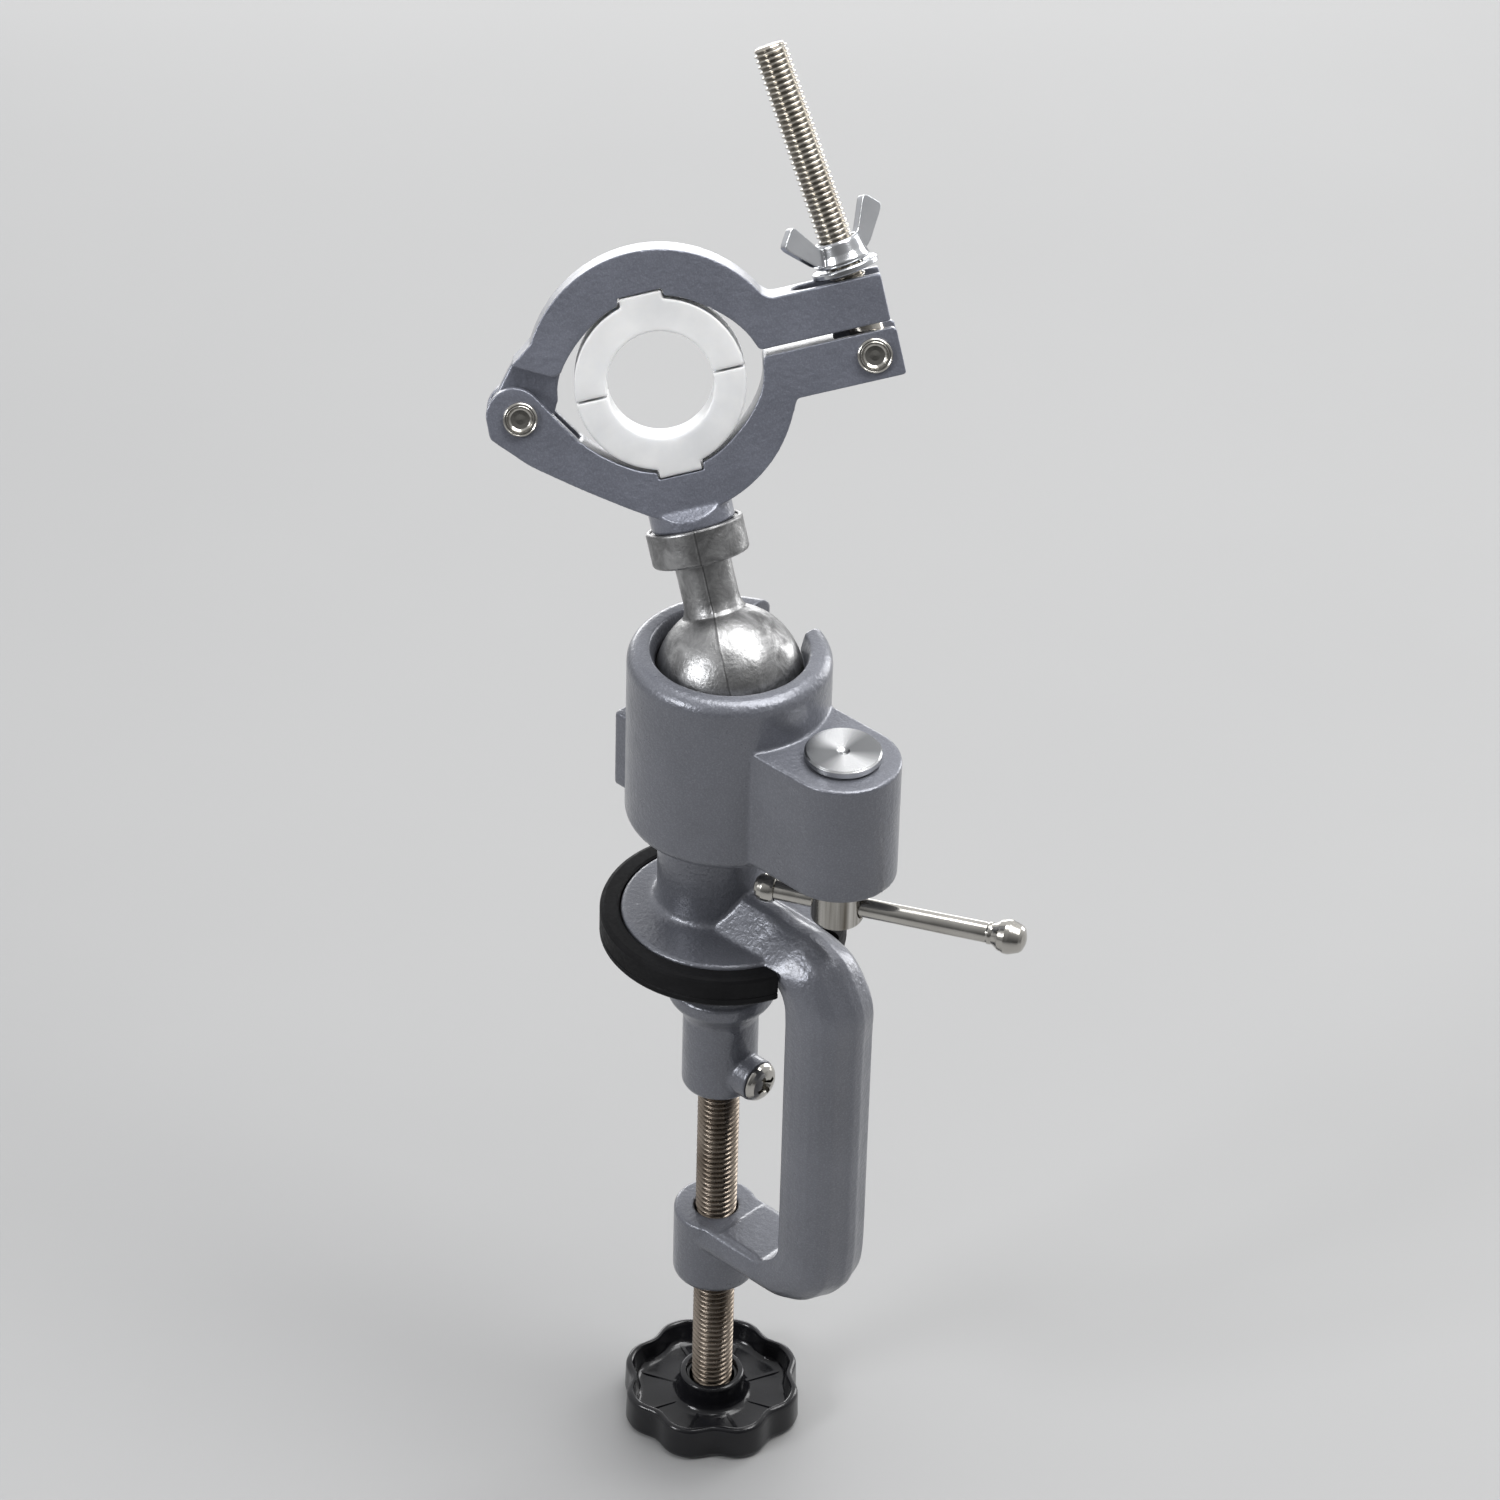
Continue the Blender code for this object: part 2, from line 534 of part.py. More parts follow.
# the cheek cuts leave a central tongue at the hinge
CHEEK = [(-33.4, 12.6), (-22.2, 6.5), (-19.5, 0.0), (-19.0, -12.0), (-46.0, -12.0),
         (-46.0, 14.0)]
cheek_a = place(prism("cheek_cut_a", CHEEK, TONGUE_HALF, 12.0), RING)
cheek_b = place(prism("cheek_cut_b", CHEEK, -12.0, -TONGUE_HALF), RING)
upper_slot = place(box("upper_slot_cut", (37.5, -2, -BOLT_SLOT_HALF),
                       (60, 17, BOLT_SLOT_HALF)), RING)
upper_slot_end = place(rod("upper_slot_end_cut", (37.5, -2, 0), (37.5, 17, 0),
                           BOLT_SLOT_HALF, seg=20), RING)
hinge_hole = cross_rod("hinge_hole_cut", HINGE, HINGE_PIN_R + GAP, seg=20)
place(upper, RING, (*HINGE, 0))
cut(upper, cheek_a, cheek_b, upper_slot, upper_slot_end, hinge_hole)

lower_bore = bore_arc(-178.0, -2.0)
right = [point for point in lower_bore if point[0] > BORE_SIDE_X]
left = [point for point in lower_bore if point[0] < -BORE_SIDE_X and point[1] < -7.8]
lower_outline = ([(24.0, 0.1), (25.2, 0.9), (53.2, 0.9), (54.0, 0.1), (54.0, -9.6),
                  (53.6, -10.0), (29.4, -10.0)]
                 + arc(0, 0, JAW_R, -22.0, -104.0, 20)
                 + [(-13.2, -25.6), (-22.9, -19.0), (-32.6, -11.4), (-39.6, -3.6),
                    (-39.9, -2.6), (-39.5, 2.7), (-36.6, 5.8), (-32.5, 6.7), (-29.2, 5.1),
                    (-27.0, 2.0), (-24.6, -2.1), (-21.4, -7.2)]
                 + left + key_notch(-1) + right)
lower = prism("lower_jaw", lower_outline, -RING_T, RING_T, RING_PAINT)
jaw_boss = place(rod("jaw_boss_form", (0, -33.55, 0), (0, -29.2, 0), 9.6, seg=32), RING)
ear_slot_half = TONGUE_HALF + GAP
ear_slot = place(box("ear_slot_cut", (-46, -9.0, -ear_slot_half),
                     (-19.0, 16, ear_slot_half)), RING)
lower_slot = place(box("lower_slot_cut", (40.0, -16, -BOLT_SLOT_HALF),
                       (60, 4, BOLT_SLOT_HALF)), RING)
pivot_hole = cross_rod("pivot_hole_cut", PIVOT, PIVOT_PIN_R + GAP, seg=18)
fix_hole = place(rod("fix_hole_cut", (0, -40, 0), (0, -15, 0), 2.4, seg=16), RING)
fix_sink = place(rod("fix_sink_cut", (0, FIX_SEAT_Y, 0), (0, -15, 0), 4.2, seg=18), RING)
place(lower, RING)
join(lower, jaw_boss)
cut(lower, ear_slot, lower_slot, hinge_hole, pivot_hole, fix_hole, fix_sink)

fix_screw = lathe("ring_fixing_screw", [(0, 2.6), (3.8, 2.6), (3.8, 0.3), (2.05, 0.3),
                                        (2.05, -20.0), (0, -20.0)], NICKEL, steps=18)
place(fix_screw, RING @ at(0, FIX_SEAT_Y, 0) @ Matrix.Rotation(math.radians(-90), 4, "X"))


def rivet(name, centre, shaft_r, head_r=4.0):
    """A headed pin across the ring, with a shallow dish in each head."""
    under = RING_T + GAP
    top = RING_T + 1.15
    half = [(0, top - 0.55), (head_r * 0.42, top - 0.55), (head_r * 0.6, top),
            (head_r - 0.3, top), (head_r, top - 0.3), (head_r, under), (shaft_r, under)]
    profile = half + [(radius, -z) for radius, z in half[::-1]]
    place(lathe(name, profile, NICKEL, steps=22), RING @ at(*centre, 0))


rivet("hinge_pin", HINGE, HINGE_PIN_R)
rivet("bolt_pivot_pin", PIVOT, PIVOT_PIN_R)

# ---------------------------------------------------------------- swing bolt and wing nut
swing = lathe("swing_bolt", [(0, BOLT_LEN), (BOLT_R - 0.8, BOLT_LEN), (BOLT_R, BOLT_LEN - 0.8),
                             (BOLT_R, 3.0), (0, 3.0)], NICKEL, steps=28)
place(swing, BOLT)
join(swing, cross_rod("eye_form", PIVOT, 5.4, seg=28, half=4.1))
cut(swing, pivot_hole)

washer = lathe("nut_washer", [(4.4, WASHER_D + 1.6), (7.2, WASHER_D + 1.4),
                              (7.7, WASHER_D + 0.9), (7.7, WASHER_D), (4.4, WASHER_D)],
               ZINC, steps=28, closed=True)
place(washer, BOLT)
wing_nut = lathe("wing_nut", [(BOLT_R + 0.35, NUT_TOP), (4.9, NUT_TOP), (5.4, NUT_TOP - 0.6),
                              (6.3, NUT_BASE + 1.2), (6.3, NUT_BASE + 0.6), (5.9, NUT_BASE),
                              (BOLT_R + 0.35, NUT_BASE)], ZINC, steps=20, closed=True)
place(wing_nut, BOLT)
# (radius, height above the nut's base)
WING = [(4.7, 1.0), (6.4, 0.9), (8.4, 1.9), (14.3, 7.6), (14.8, 8.4), (14.6, 9.2),
        (11.8, 11.9), (11.1, 12.1), (10.4, 11.7), (6.5, 6.0), (5.4, 4.9), (4.7, 4.7)]
for name, turn in (("wing_form_a", WING_TURN), ("wing_form_b", WING_TURN + math.pi)):
    wing = prism(name, [(radius, NUT_BASE + height) for radius, height in WING], -1.0, 1.0)
    wing.data.transform(Matrix.Rotation(turn, 4, "Z")
                        @ Matrix.Rotation(math.radians(90), 4, "X"))
    join(wing_nut, place(wing, BOLT))


# ---------------------------------------------------------------- sleeve halves
def half_circle(radius, count):
    """An arc over +Y that stops short of the split on both sides."""
    start = math.degrees(math.asin(SPLIT_HALF / radius))
    return arc(0, 0, radius, start, 180 - start, count)


outer = half_circle(SLEEVE_R, 28)
sleeve_outline = ([point for point in outer if point[0] > 5.0]
                  + key_corners(KEY_HALF, SLEEVE_R, KEY_R)
                  + [point for point in outer if point[0] < -5.0]
                  + half_circle(SLEEVE_IN_R, 20)[::-1])
mirrored = [(x, -y) for x, y in sleeve_outline][::-1]
for name, outline in (("sleeve_upper", sleeve_outline), ("sleeve_lower", mirrored)):
    place(prism(name, outline, -RING_T, RING_T, WHITE), RING)

for part in parts.objects:
    part.data.set_sharp_from_angle(angle=math.radians(32))
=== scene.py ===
# A drill holder on a bench clamp. The clamp's screw runs along Z, the C opens towards -X, and
# the ball in the head carries a stem with a hinged ring. Tables are in millimetres.
import json
import math
import bpy
import bmesh
from mathutils import Matrix, Vector, noise
from mathutils.geometry import delaunay_2d_cdt

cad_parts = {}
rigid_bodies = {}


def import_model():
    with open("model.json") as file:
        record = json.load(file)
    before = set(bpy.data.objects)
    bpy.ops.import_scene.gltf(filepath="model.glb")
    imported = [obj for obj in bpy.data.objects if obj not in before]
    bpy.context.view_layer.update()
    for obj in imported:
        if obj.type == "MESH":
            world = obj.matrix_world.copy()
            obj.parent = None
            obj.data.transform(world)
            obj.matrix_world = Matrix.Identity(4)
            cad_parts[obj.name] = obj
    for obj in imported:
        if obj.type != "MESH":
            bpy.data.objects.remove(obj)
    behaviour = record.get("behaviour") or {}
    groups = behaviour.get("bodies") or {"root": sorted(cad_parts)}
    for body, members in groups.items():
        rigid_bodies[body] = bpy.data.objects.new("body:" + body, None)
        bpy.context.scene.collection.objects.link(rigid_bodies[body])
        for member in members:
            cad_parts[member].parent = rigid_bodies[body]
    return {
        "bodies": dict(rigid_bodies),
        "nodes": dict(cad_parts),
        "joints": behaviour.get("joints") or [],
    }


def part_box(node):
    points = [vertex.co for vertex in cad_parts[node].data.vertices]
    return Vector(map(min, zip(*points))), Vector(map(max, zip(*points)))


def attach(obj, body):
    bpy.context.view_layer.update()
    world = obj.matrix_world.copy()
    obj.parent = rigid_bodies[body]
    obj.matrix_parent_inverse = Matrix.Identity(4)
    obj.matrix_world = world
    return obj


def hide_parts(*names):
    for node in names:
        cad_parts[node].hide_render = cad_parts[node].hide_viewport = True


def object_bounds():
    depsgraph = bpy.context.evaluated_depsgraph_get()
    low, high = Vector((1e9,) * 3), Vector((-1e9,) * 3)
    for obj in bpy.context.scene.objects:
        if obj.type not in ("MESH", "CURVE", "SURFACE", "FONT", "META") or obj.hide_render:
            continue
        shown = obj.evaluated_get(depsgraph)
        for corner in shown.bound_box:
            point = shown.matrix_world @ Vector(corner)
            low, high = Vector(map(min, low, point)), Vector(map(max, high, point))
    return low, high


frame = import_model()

MM = 0.001
CAD_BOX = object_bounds()
SCENE = bpy.context.scene
JOINTS = {joint["name"]: joint for joint in frame["joints"]}


# ------------------------------------------------------------------ local frames
def joint_place(name):
    return Vector(JOINTS[name]["pos_m"])


def joint_axis(name):
    return Vector(JOINTS[name]["axis"]).normalized()


def cad_box(node):
    low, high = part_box(node)
    return Vector(low) / MM, Vector(high) / MM


def axes_matrix(x_axis, y_axis, z_axis, origin):
    matrix = Matrix((x_axis, y_axis, z_axis)).transposed().to_4x4()
    matrix.translation = origin
    return matrix


STEM_AXIS = joint_axis("ring_swivel")
HINGE_AXIS = joint_axis("jaw_open")
SIDE_AXIS = STEM_AXIS.cross(HINGE_AXIS).normalized()
BOLT_AXIS = joint_axis("nut_travel")
BAR_AXIS = joint_axis("bar_slide")
LUG_PLACE = joint_place("lock_turn")
LUG_X = LUG_PLACE.x / MM

# Ring: origin at the bore's centre, y away from the ball, z along the bore.
RING = axes_matrix(SIDE_AXIS, STEM_AXIS, HINGE_AXIS, joint_place("ring_swivel"))
# Stem: origin at the ball's centre, z towards the ring.
STEM = axes_matrix(SIDE_AXIS, HINGE_AXIS * -1.0, STEM_AXIS, joint_place("ball_tilt"))
# Bolt: origin at its pivot, z along the rod.
BOLT = axes_matrix(HINGE_AXIS.cross(BOLT_AXIS).normalized() * -1.0, HINGE_AXIS * -1.0,
                   BOLT_AXIS, joint_place("bolt_swing"))
# Bar: origin on the locking pin's axis, z along the bar.
BAR = Matrix.Translation(LUG_PLACE) @ BAR_AXIS.to_track_quat("Z", "Y").to_matrix().to_4x4()
LUG = Matrix.Translation((LUG_X * MM, 0, 0))


def ring_point(name):
    point = RING.inverted() @ joint_place(name)
    return point.x / MM, point.y / MM


HINGE = ring_point("jaw_open")
PIVOT = ring_point("bolt_swing")
CAST_LOW, CAST_HIGH = cad_box("c_frame_casting")
HEAD_TOP = CAST_HIGH.z


# ------------------------------------------------------------------ mesh helpers
def link(obj):
    SCENE.collection.objects.link(obj)
    return obj


def to_object(name, mesh):
    data = bpy.data.meshes.new(name)
    mesh.to_mesh(data)
    mesh.free()
    return link(bpy.data.objects.new(name, data))


def bake(obj):
    """Replace an object's mesh by its evaluated mesh, with no modifier left."""
    bpy.context.view_layer.update()
    graph = bpy.context.evaluated_depsgraph_get()
    data = bpy.data.meshes.new_from_object(obj.evaluated_get(graph))
    old = obj.data
    obj.modifiers.clear()
    obj.data = data
    data.name = obj.name
    if old.users == 0:
        bpy.data.meshes.remove(old)


def modify(obj, kind, **settings):
    modifier = obj.modifiers.new(kind.lower(), kind)
    for key, value in settings.items():
        setattr(modifier, key, value)


def bevel(obj, width, segments, angle=30):
    modify(obj, "BEVEL", width=width * MM, segments=segments, limit_method="ANGLE",
           angle_limit=math.radians(angle))
    bake(obj)


def boolean(obj, tools, operation):
    """Join or cut closed forms one after another, and remove them."""
    for tool in tools:
        modify(obj, "BOOLEAN", operation=operation, solver="EXACT", object=tool)
    bake(obj)
    for tool in tools:
        bpy.data.objects.remove(tool, do_unlink=True)


def soften(obj, voxel, smooth_steps):
    """Cast or moulded look: a fine even skin whose edges and inner corners are rounded."""
    modify(obj, "REMESH", mode="VOXEL", voxel_size=voxel * MM, use_smooth_shade=True)
    modify(obj, "SMOOTH", factor=0.5, iterations=smooth_steps)
    bake(obj)
    obj.data.shade_smooth()


def shade(obj, sharp_angle):
    obj.data.shade_smooth()
    obj.data.set_sharp_from_angle(angle=math.radians(sharp_angle))


def place(obj, matrix):
    """Place a piece by moving its vertices, so that its box is the true one."""
    obj.data.transform(matrix)


def clamp_to(obj, low, high):
    """Keep a skin inside its solid's box."""
    for vertex in obj.data.vertices:
        vertex.co = [min(max(vertex.co[i], low[i] * MM), high[i] * MM) for i in range(3)]


def finish(obj, material, body, node):
    obj.data.materials.clear()
    obj.data.materials.append(material)
    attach(obj, body)
    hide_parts(node)


def arc(x, y, radius, start, end, steps):
    """Points on an arc, from start to end in degrees."""
    angles = [math.radians(start + (end - start) * i / steps) for i in range(steps + 1)]
    return [(x + radius * math.cos(a), y + radius * math.sin(a)) for a in angles]


def rounded(points, radius, steps):
    """Round the corners of an open polyline; radius is one value or one for each point."""
    radii = radius if isinstance(radius, list) else [radius] * len(points)
    result = [points[0]]
    for k in range(1, len(points) - 1):
        corner = Vector(points[k])
        if radii[k] == 0:
            result.append(tuple(corner))
            continue
        back, ahead = Vector(points[k - 1]) - corner, Vector(points[k + 1]) - corner
        reach = min(radii[k], back.length * 0.45, ahead.length * 0.45)
        start, end = corner + back.normalized() * reach, corner + ahead.normalized() * reach
        for i in range(steps + 1):
            t = i / steps
            point = start * (1 - t) ** 2 + corner * (2 * t * (1 - t)) + end * t ** 2
            result.append((point.x, point.y))
    result.append(points[-1])
    return result


def supported(profile, closed):
    """Add a point close beside each corner, so that flats shade flat."""
    near, longest_bare, corner_angle = 0.07, 0.3, math.radians(11)
    points = [Vector(point) for point in profile]
    count = len(points)

    def is_corner(k):
        if not closed and k in (0, count - 1):
            return True
        before, after = points[k] - points[k - 1], points[(k + 1) % count] - points[k]
        return (before.length > 1e-6 and after.length > 1e-6
                and before.angle(after) > corner_angle)

    result = []
    for k in range(count if closed else count - 1):
        start, end = points[k], points[(k + 1) % count]
        result.append(start)
        length = (end - start).length
        if length > longest_bare:
            step = (end - start) / length * near
            if is_corner(k):
                result.append(start + step)
            if is_corner((k + 1) % count):
                result.append(end - step)
    if not closed:
        result.append(points[-1])
    return [(point.x if point.x > 1e-5 else 0.0, point.y) for point in result]


def vertex_ring(mesh, radii, z):
    """A level ring of vertices, one for each radius."""
    angles = [2 * math.pi * i / len(radii) for i in range(len(radii))]
    return [mesh.verts.new((radius * MM * math.cos(a), radius * MM * math.sin(a), z * MM))
            for radius, a in zip(radii, angles)]


def turned(name, profile, segments=96, closed=False):
    """A body of revolution about local Z from (radius, height)."""
    mesh = bmesh.new()
    rings = []
    for radius, z in supported(profile, closed):
        if radius <= 1e-6:
            rings.append([mesh.verts.new((0, 0, z * MM))])
        else:
            rings.append(vertex_ring(mesh, [radius] * segments, z))
    pairs = list(zip(rings, rings[1:]))
    if closed:
        pairs.append((rings[-1], rings[0]))
    for first, second in pairs:
        if len(first) == 1 and len(second) == 1:
            continue
        for i in range(segments):
            j = (i + 1) % segments
            if len(first) == 1:
                mesh.faces.new((first[0], second[i], second[j]))
            elif len(second) == 1:
                mesh.faces.new((first[i], second[0], first[j]))
            else:
                mesh.faces.new((first[i], second[i], second[j], first[j]))
    bmesh.ops.recalc_face_normals(mesh, faces=mesh.faces)
    return to_object(name, mesh)


def face_outwards(mesh):
    bmesh.ops.recalc_face_normals(mesh, faces=mesh.faces)
    if mesh.calc_volume(signed=True) < 0:
        bmesh.ops.reverse_faces(mesh, faces=mesh.faces)


def extrude(name, outline, low, high):
    """A prism along Z on a closed outline. One constrained triangulation serves both caps, so
    that no cap spills over a hollow."""
    loop = list(range(len(outline)))
    found = delaunay_2d_cdt([Vector(point) for point in outline], [], [loop], 1, 1e-5)
    points, faces = found[0], [list(face) for face in found[2]]
    mesh = bmesh.new()
    lower, upper = [[mesh.verts.new((x * MM, y * MM, z * MM)) for x, y in points]
                    for z in (low, high)]
    for face in faces:
        mesh.faces.new([upper[i] for i in face])
        mesh.faces.new([lower[i] for i in reversed(face)])
    edges = dict.fromkeys(edge for face in faces for edge in zip(face, face[1:] + face[:1]))
    for i, j in edges:
        if (j, i) not in edges:
            mesh.faces.new((lower[i], lower[j], upper[j], upper[i]))
    loose = [vertex for vertex in mesh.verts if not vertex.link_faces]
    bmesh.ops.delete(mesh, geom=loose, context="VERTS")
    face_outwards(mesh)
    return to_object(name, mesh)


def block(name, low, high):
    mesh = bmesh.new()
    bmesh.ops.create_cube(mesh, size=1.0)
    for vertex in mesh.verts:
        vertex.co = Vector([(low[i] + (vertex.co[i] + 0.5) * (high[i] - low[i])) * MM
                            for i in range(3)])
    return to_object(name, mesh)


def rod(name, start, end, radius, segments=48, end_radius=None):
    start, end = Vector(start) * MM, Vector(end) * MM
    if end_radius is None:
        end_radius = radius
    mesh = bmesh.new()
    bmesh.ops.create_cone(mesh, cap_ends=True, segments=segments, radius1=radius * MM,
                          radius2=end_radius * MM, depth=(end - start).length)
    turn = (end - start).to_track_quat("Z", "Y").to_matrix().to_4x4()
    bmesh.ops.transform(mesh, matrix=Matrix.Translation((start + end) / 2) @ turn,
                        verts=mesh.verts)
    return to_object(name, mesh)


def bridge(mesh, rings):
    count = len(rings[0])
    for first, second in zip(rings, rings[1:]):
        for i in range(count):
            j = (i + 1) % count
            mesh.faces.new((first[i], first[j], second[j], second[i]))


def loft(name, sections):
    mesh = bmesh.new()
    rings = [[mesh.verts.new(Vector(point) * MM) for point in section] for section in sections]
    bridge(mesh, rings)
    mesh.faces.new(rings[0][::-1])
    mesh.faces.new(rings[-1])
    caps = [face for face in mesh.faces if len(face.verts) > 4]
    bmesh.ops.triangulate(mesh, faces=caps)
    face_outwards(mesh)
    return to_object(name, mesh)


def threaded(name, top, bottom, major, minor, pitch, plain, segments=56):
    """A rod about local Z with one helical ridge that fades at each end; plain is a smooth
    stretch as (top, bottom, radius)."""
    rows_per_turn = 12

    def radius_at(turn, z):
        """The rod's radius at a part of a turn and a height."""
        if plain[1] <= z <= plain[0]:
            return plain[2]
        phase = ((z / pitch) - turn) % 1.0
        height = min(1.0, max(0.0, (abs(phase - 0.5) * 2.0 - 0.12) / 0.72))
        fade = minor - 0.15 + min(top - z, z - bottom) * 0.9
        return min(minor + (major - minor) * height, max(fade, minor - 0.35))

    rows = int((top - bottom) / pitch * rows_per_turn)
    mesh = bmesh.new()
    rings = []
    for k in range(rows + 1):
        z = top - (top - bottom) * k / rows
        rings.append(vertex_ring(mesh, [radius_at(i / segments, z) for i in range(segments)], z))
    for first, second in zip(rings, rings[1:]):
        for i in range(segments):
            j = (i + 1) % segments
            mesh.faces.new((first[i], second[i], second[j], first[j]))
    top_centre = mesh.verts.new((0, 0, top * MM))
    bottom_centre = mesh.verts.new((0, 0, bottom * MM))
    for i in range(segments):
        j = (i + 1) % segments
        mesh.faces.new((top_centre, rings[0][i], rings[0][j]))
        mesh.faces.new((bottom_centre, rings[-1][j], rings[-1][i]))
    bmesh.ops.recalc_face_normals(mesh, faces=mesh.faces)
    return to_object(name, mesh)


# ------------------------------------------------------------------ materials
class Shader:
    """The node tree of a material or world. A value given to a node is a number, a colour
    or another node's output."""

    def __init__(self, owner):
        owner.use_nodes = True
        self.owner = owner
        self.tree = owner.node_tree

    def feed(self, node, inputs):
        for key, value in inputs.items():
            socket = node.inputs[key]
            if isinstance(value, bpy.types.NodeSocket):
                self.tree.links.new(value, socket)
            else:
                socket.default_value = (*value, 1.0) if socket.type == "RGBA" else value

    def node(self, kind, inputs, **settings):
        node = self.tree.nodes.new("ShaderNode" + kind)
        for key, value in settings.items():
            setattr(node, key, value)
        self.feed(node, inputs)
        return node

    def surface(self, inputs):
        """Feed the main shader and give back the material."""
        self.feed(self.tree.nodes["Principled BSDF"], inputs)
        return self.owner

    def coords(self, scale=(1.0, 1.0, 1.0)):
        source = self.node("TexCoord", {}).outputs["Object"]
        return self.node("Mapping", {"Scale": scale, "Vector": source}).outputs["Vector"]

    def noise(self, where, scale, detail=4.0, roughness=0.55, distortion=0.0):
        return self.node("TexNoise", {"Scale": scale, "Detail": detail, "Roughness": roughness,
                                      "Distortion": distortion, "Vector": where}).outputs["Fac"]

    def ramp(self, factor, *stops):
        """Each stop is (position, grey or colour)."""
        node = self.node("ValToRGB", {"Fac": factor})
        elements = node.color_ramp.elements
        while len(elements) < len(stops):
            elements.new(0.5)
        for element, (position, colour) in zip(elements, stops):
            if isinstance(colour, float):
                colour = (colour, colour, colour)
            element.position = position
            element.color = (*colour, 1.0)
        return node.outputs["Color"]

    def bump(self, height, distance, strength, normal=None):
        """Distance is in metres; normal is an earlier bump to build on."""
        inputs = {"Distance": distance, "Strength": strength, "Height": height}
        if normal is not None:
            inputs["Normal"] = normal
        return self.node("Bump", inputs).outputs["Normal"]

    def mix(self, factor, first, second):
        inputs = {0: factor, 6: first, 7: second}
        return self.node("Mix", inputs, data_type="RGBA").outputs[2]

    def math(self, operation, first, second=0.0):
        return self.node("Math", {0: first, 1: second}, operation=operation).outputs[0]

    def pointiness(self):
        return self.node("NewGeometry", {}).outputs["Pointiness"]


def new_shader(name):
    return Shader(bpy.data.materials.new(name))


def paint(name, base, light, roughness, metallic, peel_scale, coat):
    """Satin enamel over a casting: orange-peel bump, faint tone drift, and lighter edges, a
    painted highlight that also stands for edge wear.
    """
    mat = new_shader(name)
    where = mat.coords()
    drift = mat.noise(where, scale=38.0, detail=3.0)
    tone = mat.ramp(drift, (0.3, tuple(c * 0.88 for c in base)),
                    (0.7, tuple(c * 1.1 for c in base)))
    speck = mat.noise(where, scale=2600.0, detail=2.0)
    tone = mat.mix(mat.ramp(speck, (0.45, 0.0), (0.72, 0.22)), tone, light)
    # Painted highlight, partly edge wear: convex edges, found by pointiness, mix towards the
    # lighter tone.
    tone = mat.mix(mat.ramp(mat.pointiness(), (0.54, 0.0), (0.62, 0.3)), tone, light)
    gloss = mat.noise(where, scale=160.0)
    gloss = mat.ramp(gloss, (0.3, roughness - 0.06), (0.7, roughness + 0.08))
    peel = mat.noise(where, scale=peel_scale, detail=2.5, roughness=0.5, distortion=0.2)
    normal = mat.bump(peel, distance=0.00033, strength=0.55)
    wave = mat.noise(where, scale=120.0, detail=2.0)
    normal = mat.bump(wave, distance=0.0005, strength=0.35, normal=normal)
    return mat.surface({"Base Color": tone, "Metallic": metallic, "Roughness": gloss,
                        "Normal": normal, "Coat Weight": coat, "Coat Roughness": 0.2})


def metal(name, base, dark, roughness, grain=(1, 1, 1), grain_scale=300.0,
          bump_distance=0.00002, spot=0.25, painted_valley_shade=False, reflection_streak_scale=None):
    """Plated or plain metal with darker spots, or with darker streaks along Z where a streak
    scale is set; those streaks are painted reflections. Thread valleys can be darkened as
    painted shade.
    """
    mat = new_shader(name)
    fine = mat.noise(mat.coords(grain), scale=grain_scale, detail=5.0, roughness=0.6)
    # Streaks along Z are painted reflections; the spots otherwise are stains.
    if reflection_streak_scale:
        stain_and_reflection = mat.noise(mat.coords((1.0, 1.0, 0.03)), scale=reflection_streak_scale, detail=3.0,
                          roughness=0.6)
    else:
        stain_and_reflection = mat.noise(mat.coords(), scale=70.0, roughness=0.6)
    tone = mat.mix(mat.ramp(stain_and_reflection, (0.35, spot), (0.65, 0.0)), base, dark)
    if painted_valley_shade:
        # Painted shade: the thread valleys, found by low pointiness, are darkened to near black.
        valley = mat.ramp(mat.pointiness(), (0.44, 0.93), (0.50, 0.0))
        tone = mat.mix(valley, tone, (0.02, 0.017, 0.014))
    gloss = mat.ramp(fine, (0.25, roughness - 0.08), (0.75, roughness + 0.1))
    return mat.surface({"Base Color": tone, "Metallic": 1.0, "Roughness": gloss,
                        "Normal": mat.bump(fine, distance=bump_distance, strength=0.5)})


def turned_face():
    """Face-turned disc: fine rings round its own axis and the bow-tie sheen they give."""
    mat = new_shader("turned_face")
    centred = mat.node("VectorMath", {0: mat.coords(), 1: (LUG_X * MM, 0, 0)},
                       operation="SUBTRACT").outputs[0]
    split = mat.node("SeparateXYZ", {0: centred})
    x, y = split.outputs["X"], split.outputs["Y"]
    angle = mat.math("ARCTAN2", y, x)
    # Painted sheen: two bright sectors, turned by 0.9 rad in the doubled angle, put into the
    # base colour.
    doubled = mat.math("ADD", mat.math("MULTIPLY", angle, 2.0), 0.9)
    bow = mat.math("ADD", mat.math("MULTIPLY", mat.math("COSINE", doubled), 0.5), 0.5)
    square = mat.math("ADD", mat.math("MULTIPLY", x, x), mat.math("MULTIPLY", y, y))
    # Rings about 0.29 mm apart: 22000 radians to the metre.
    groove = mat.math("SINE", mat.math("MULTIPLY", mat.math("SQRT", square), 22000.0))
    tone = mat.ramp(bow, (0.15, (0.24, 0.245, 0.25)), (0.55, (0.48, 0.485, 0.49)),
                    (0.9, (0.86, 0.865, 0.87)))
    return mat.surface({"Base Color": tone, "Metallic": 1.0, "Roughness": 0.27,
                        "Normal": mat.bump(groove, distance=0.00001, strength=0.35)})


